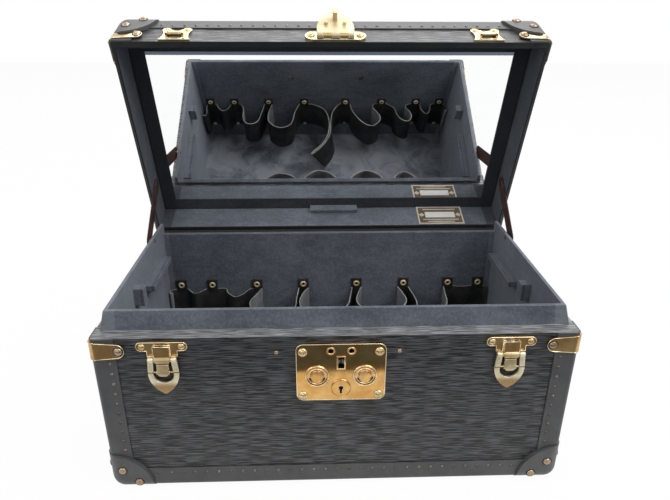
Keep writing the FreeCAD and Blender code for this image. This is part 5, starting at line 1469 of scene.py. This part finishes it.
@dataclass
class Studio:
    """Camera, soft lights, pale floor and white surroundings."""

    eye: tuple[float, float, float] = (-15.319, -436.183, 347.178)
    pitch: float = 0.412569
    yaw: float = -0.0372822
    roll: float = 0.00509141
    focal_px: float = 580.194
    width_px: float = 670.0
    sensor: float = 36.0
    floor_size: float = 6.0
    fill: float = 0.30
    lamps: tuple[tuple[str, tuple[float, float, float], float, float, float], ...] = (
        ("overhead_lamp", (0.80, -0.30, 1.36), 0.1, 1.2, 18.0), ("rear_lamp", (0.10, 1.55, 1.55), 0.2, 1.7, 21.0),
        ("left_lamp", (-1.3, -0.2, 1.0), 0.1, 1.0, 5.0), ("front_lamp", (-0.7, -1.5, 0.9), 0.12, 0.9, 2.2))
    white_share: float = 0.965
    card_near: float = -0.241
    card_far: float = -1.5
    card_wide: float = 1.3
    card_lift: float = 0.002

    def build(self) -> None:
        """Everything round the object."""
        self.build_camera()
        self.build_floor()
        self.build_card()
        self.build_lights()
        self.build_world()

    def build_camera(self) -> None:
        """Camera at the solved place, looking down on the open case."""
        data = bpy.data.cameras.new("studio_camera")
        camera = linked("studio_camera", data)
        level = Matrix(((1.0, 0.0, 0.0), (0.0, 0.0, -1.0), (0.0, 1.0, 0.0)))
        turn = Matrix.Rotation(self.roll, 3, "Z") @ Matrix.Rotation(self.pitch, 3, "X")
        turn = turn @ Matrix.Rotation(self.yaw, 3, "Y") @ level
        axes = Matrix((turn[0], -turn[1], -turn[2])).transposed()
        camera.matrix_world = Matrix.Translation(Vector(self.eye) * MM) @ axes.to_4x4()
        data.sensor_width = self.sensor
        data.lens = self.focal_px * self.sensor / self.width_px
        data.clip_start = 0.01
        bpy.context.scene.camera = camera

    @staticmethod
    def plane(name: str, middle: Sequence[float], wide: float, deep: float, finish: Material) -> Piece:
        """A flat piece of the stage."""
        Bench.clear()
        bpy.ops.mesh.primitive_plane_add(size=1.0, location=middle)
        bpy.context.object.scale = (wide, deep, 1.0)
        piece = dress(Bench.named(name), finish)
        return piece

    def build_floor(self) -> None:
        """Plain pale floor that stays white round the object and keeps its shadow."""
        r = Recipe("pale_floor")
        matt = r.cloudy_matt(3.0, grey(0.88), grey(0.91))
        white = r.node("ShaderNodeEmission", None, {"Color": grey(1.0), "Strength": 1.0})
        seen = self.seen(r) * self.white_share
        mix = r.node("ShaderNodeMixShader", None, {0: seen, 1: matt.outputs[0], 2: white.outputs[0]})
        self.plane("studio_floor", (0.0, 0.0, 0.0), self.floor_size, self.floor_size, r.close(mix))

    def build_card(self) -> None:
        """Dark card on the floor before the case, out of the picture: the brass shows it in its upper half."""
        r = Recipe("dark_card")
        matt = r.cloudy_matt(5.0, (0.075, 0.095, 0.12, 1.0), (0.12, 0.14, 0.17, 1.0))
        middle = (0.0, (self.card_near + self.card_far) / 2, self.card_lift)
        card = self.plane("studio_card", middle, self.card_wide, self.card_near - self.card_far, r.close(matt))
        card.visible_camera = False
        card.visible_shadow = False

    @staticmethod
    def seen(r: Recipe) -> Val:
        """One for rays from the camera, from a mirror or through glass."""
        outputs = r.node("ShaderNodeLightPath").outputs
        straight, glossy, clear = (Val(r, outputs[f"Is {kind} Ray"]) for kind in ("Camera", "Glossy", "Transmission"))
        return straight.most(glossy).most(clear)

    def build_lights(self) -> None:
        """A large lamp overhead to the right, one behind, and weaker ones from the left and the front left."""
        for name, at, aim_z, size, power in self.lamps:
            data = bpy.data.lights.new(name, "AREA")
            data.shape = "SQUARE"
            data.size = size
            data.energy = power
            turn = (Vector((0.0, 0.0, aim_z)) - Vector(at)).to_track_quat("-Z", "Y").to_matrix().to_4x4()
            linked(name, data).matrix_world = Matrix.Translation(Vector(at)) @ turn

    def build_world(self) -> None:
        """White surroundings, weaker as fill light."""
        r = Recipe("white_surroundings", True)
        strength = self.seen(r) * (1.0 - self.fill) + self.fill
        back = r.node("ShaderNodeBackground", None, {"Color": grey(1.0), "Strength": strength})
        bpy.context.scene.world = r.close(back, "ShaderNodeOutputWorld")
        bpy.context.scene.view_settings.view_transform = "Standard"


def main() -> None:
    """Builds the finishes, the pieces and the studio."""
    logging.basicConfig(level=logging.INFO, format="%(name)s: %(message)s")
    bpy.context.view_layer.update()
    finishes = Finishes()
    finishes.build()
    for assembly in (Coats, Rivets, LidStraps, EdgeBeads, LockDetail, ClaspDetail, BottleLoops, LidStays, HingeStrip,
                     CarryHandle, InsideLabel):
        assembly(finishes).build()
    Studio().build()
    log.info("boxes written")


if __name__ == "__main__":
    main()
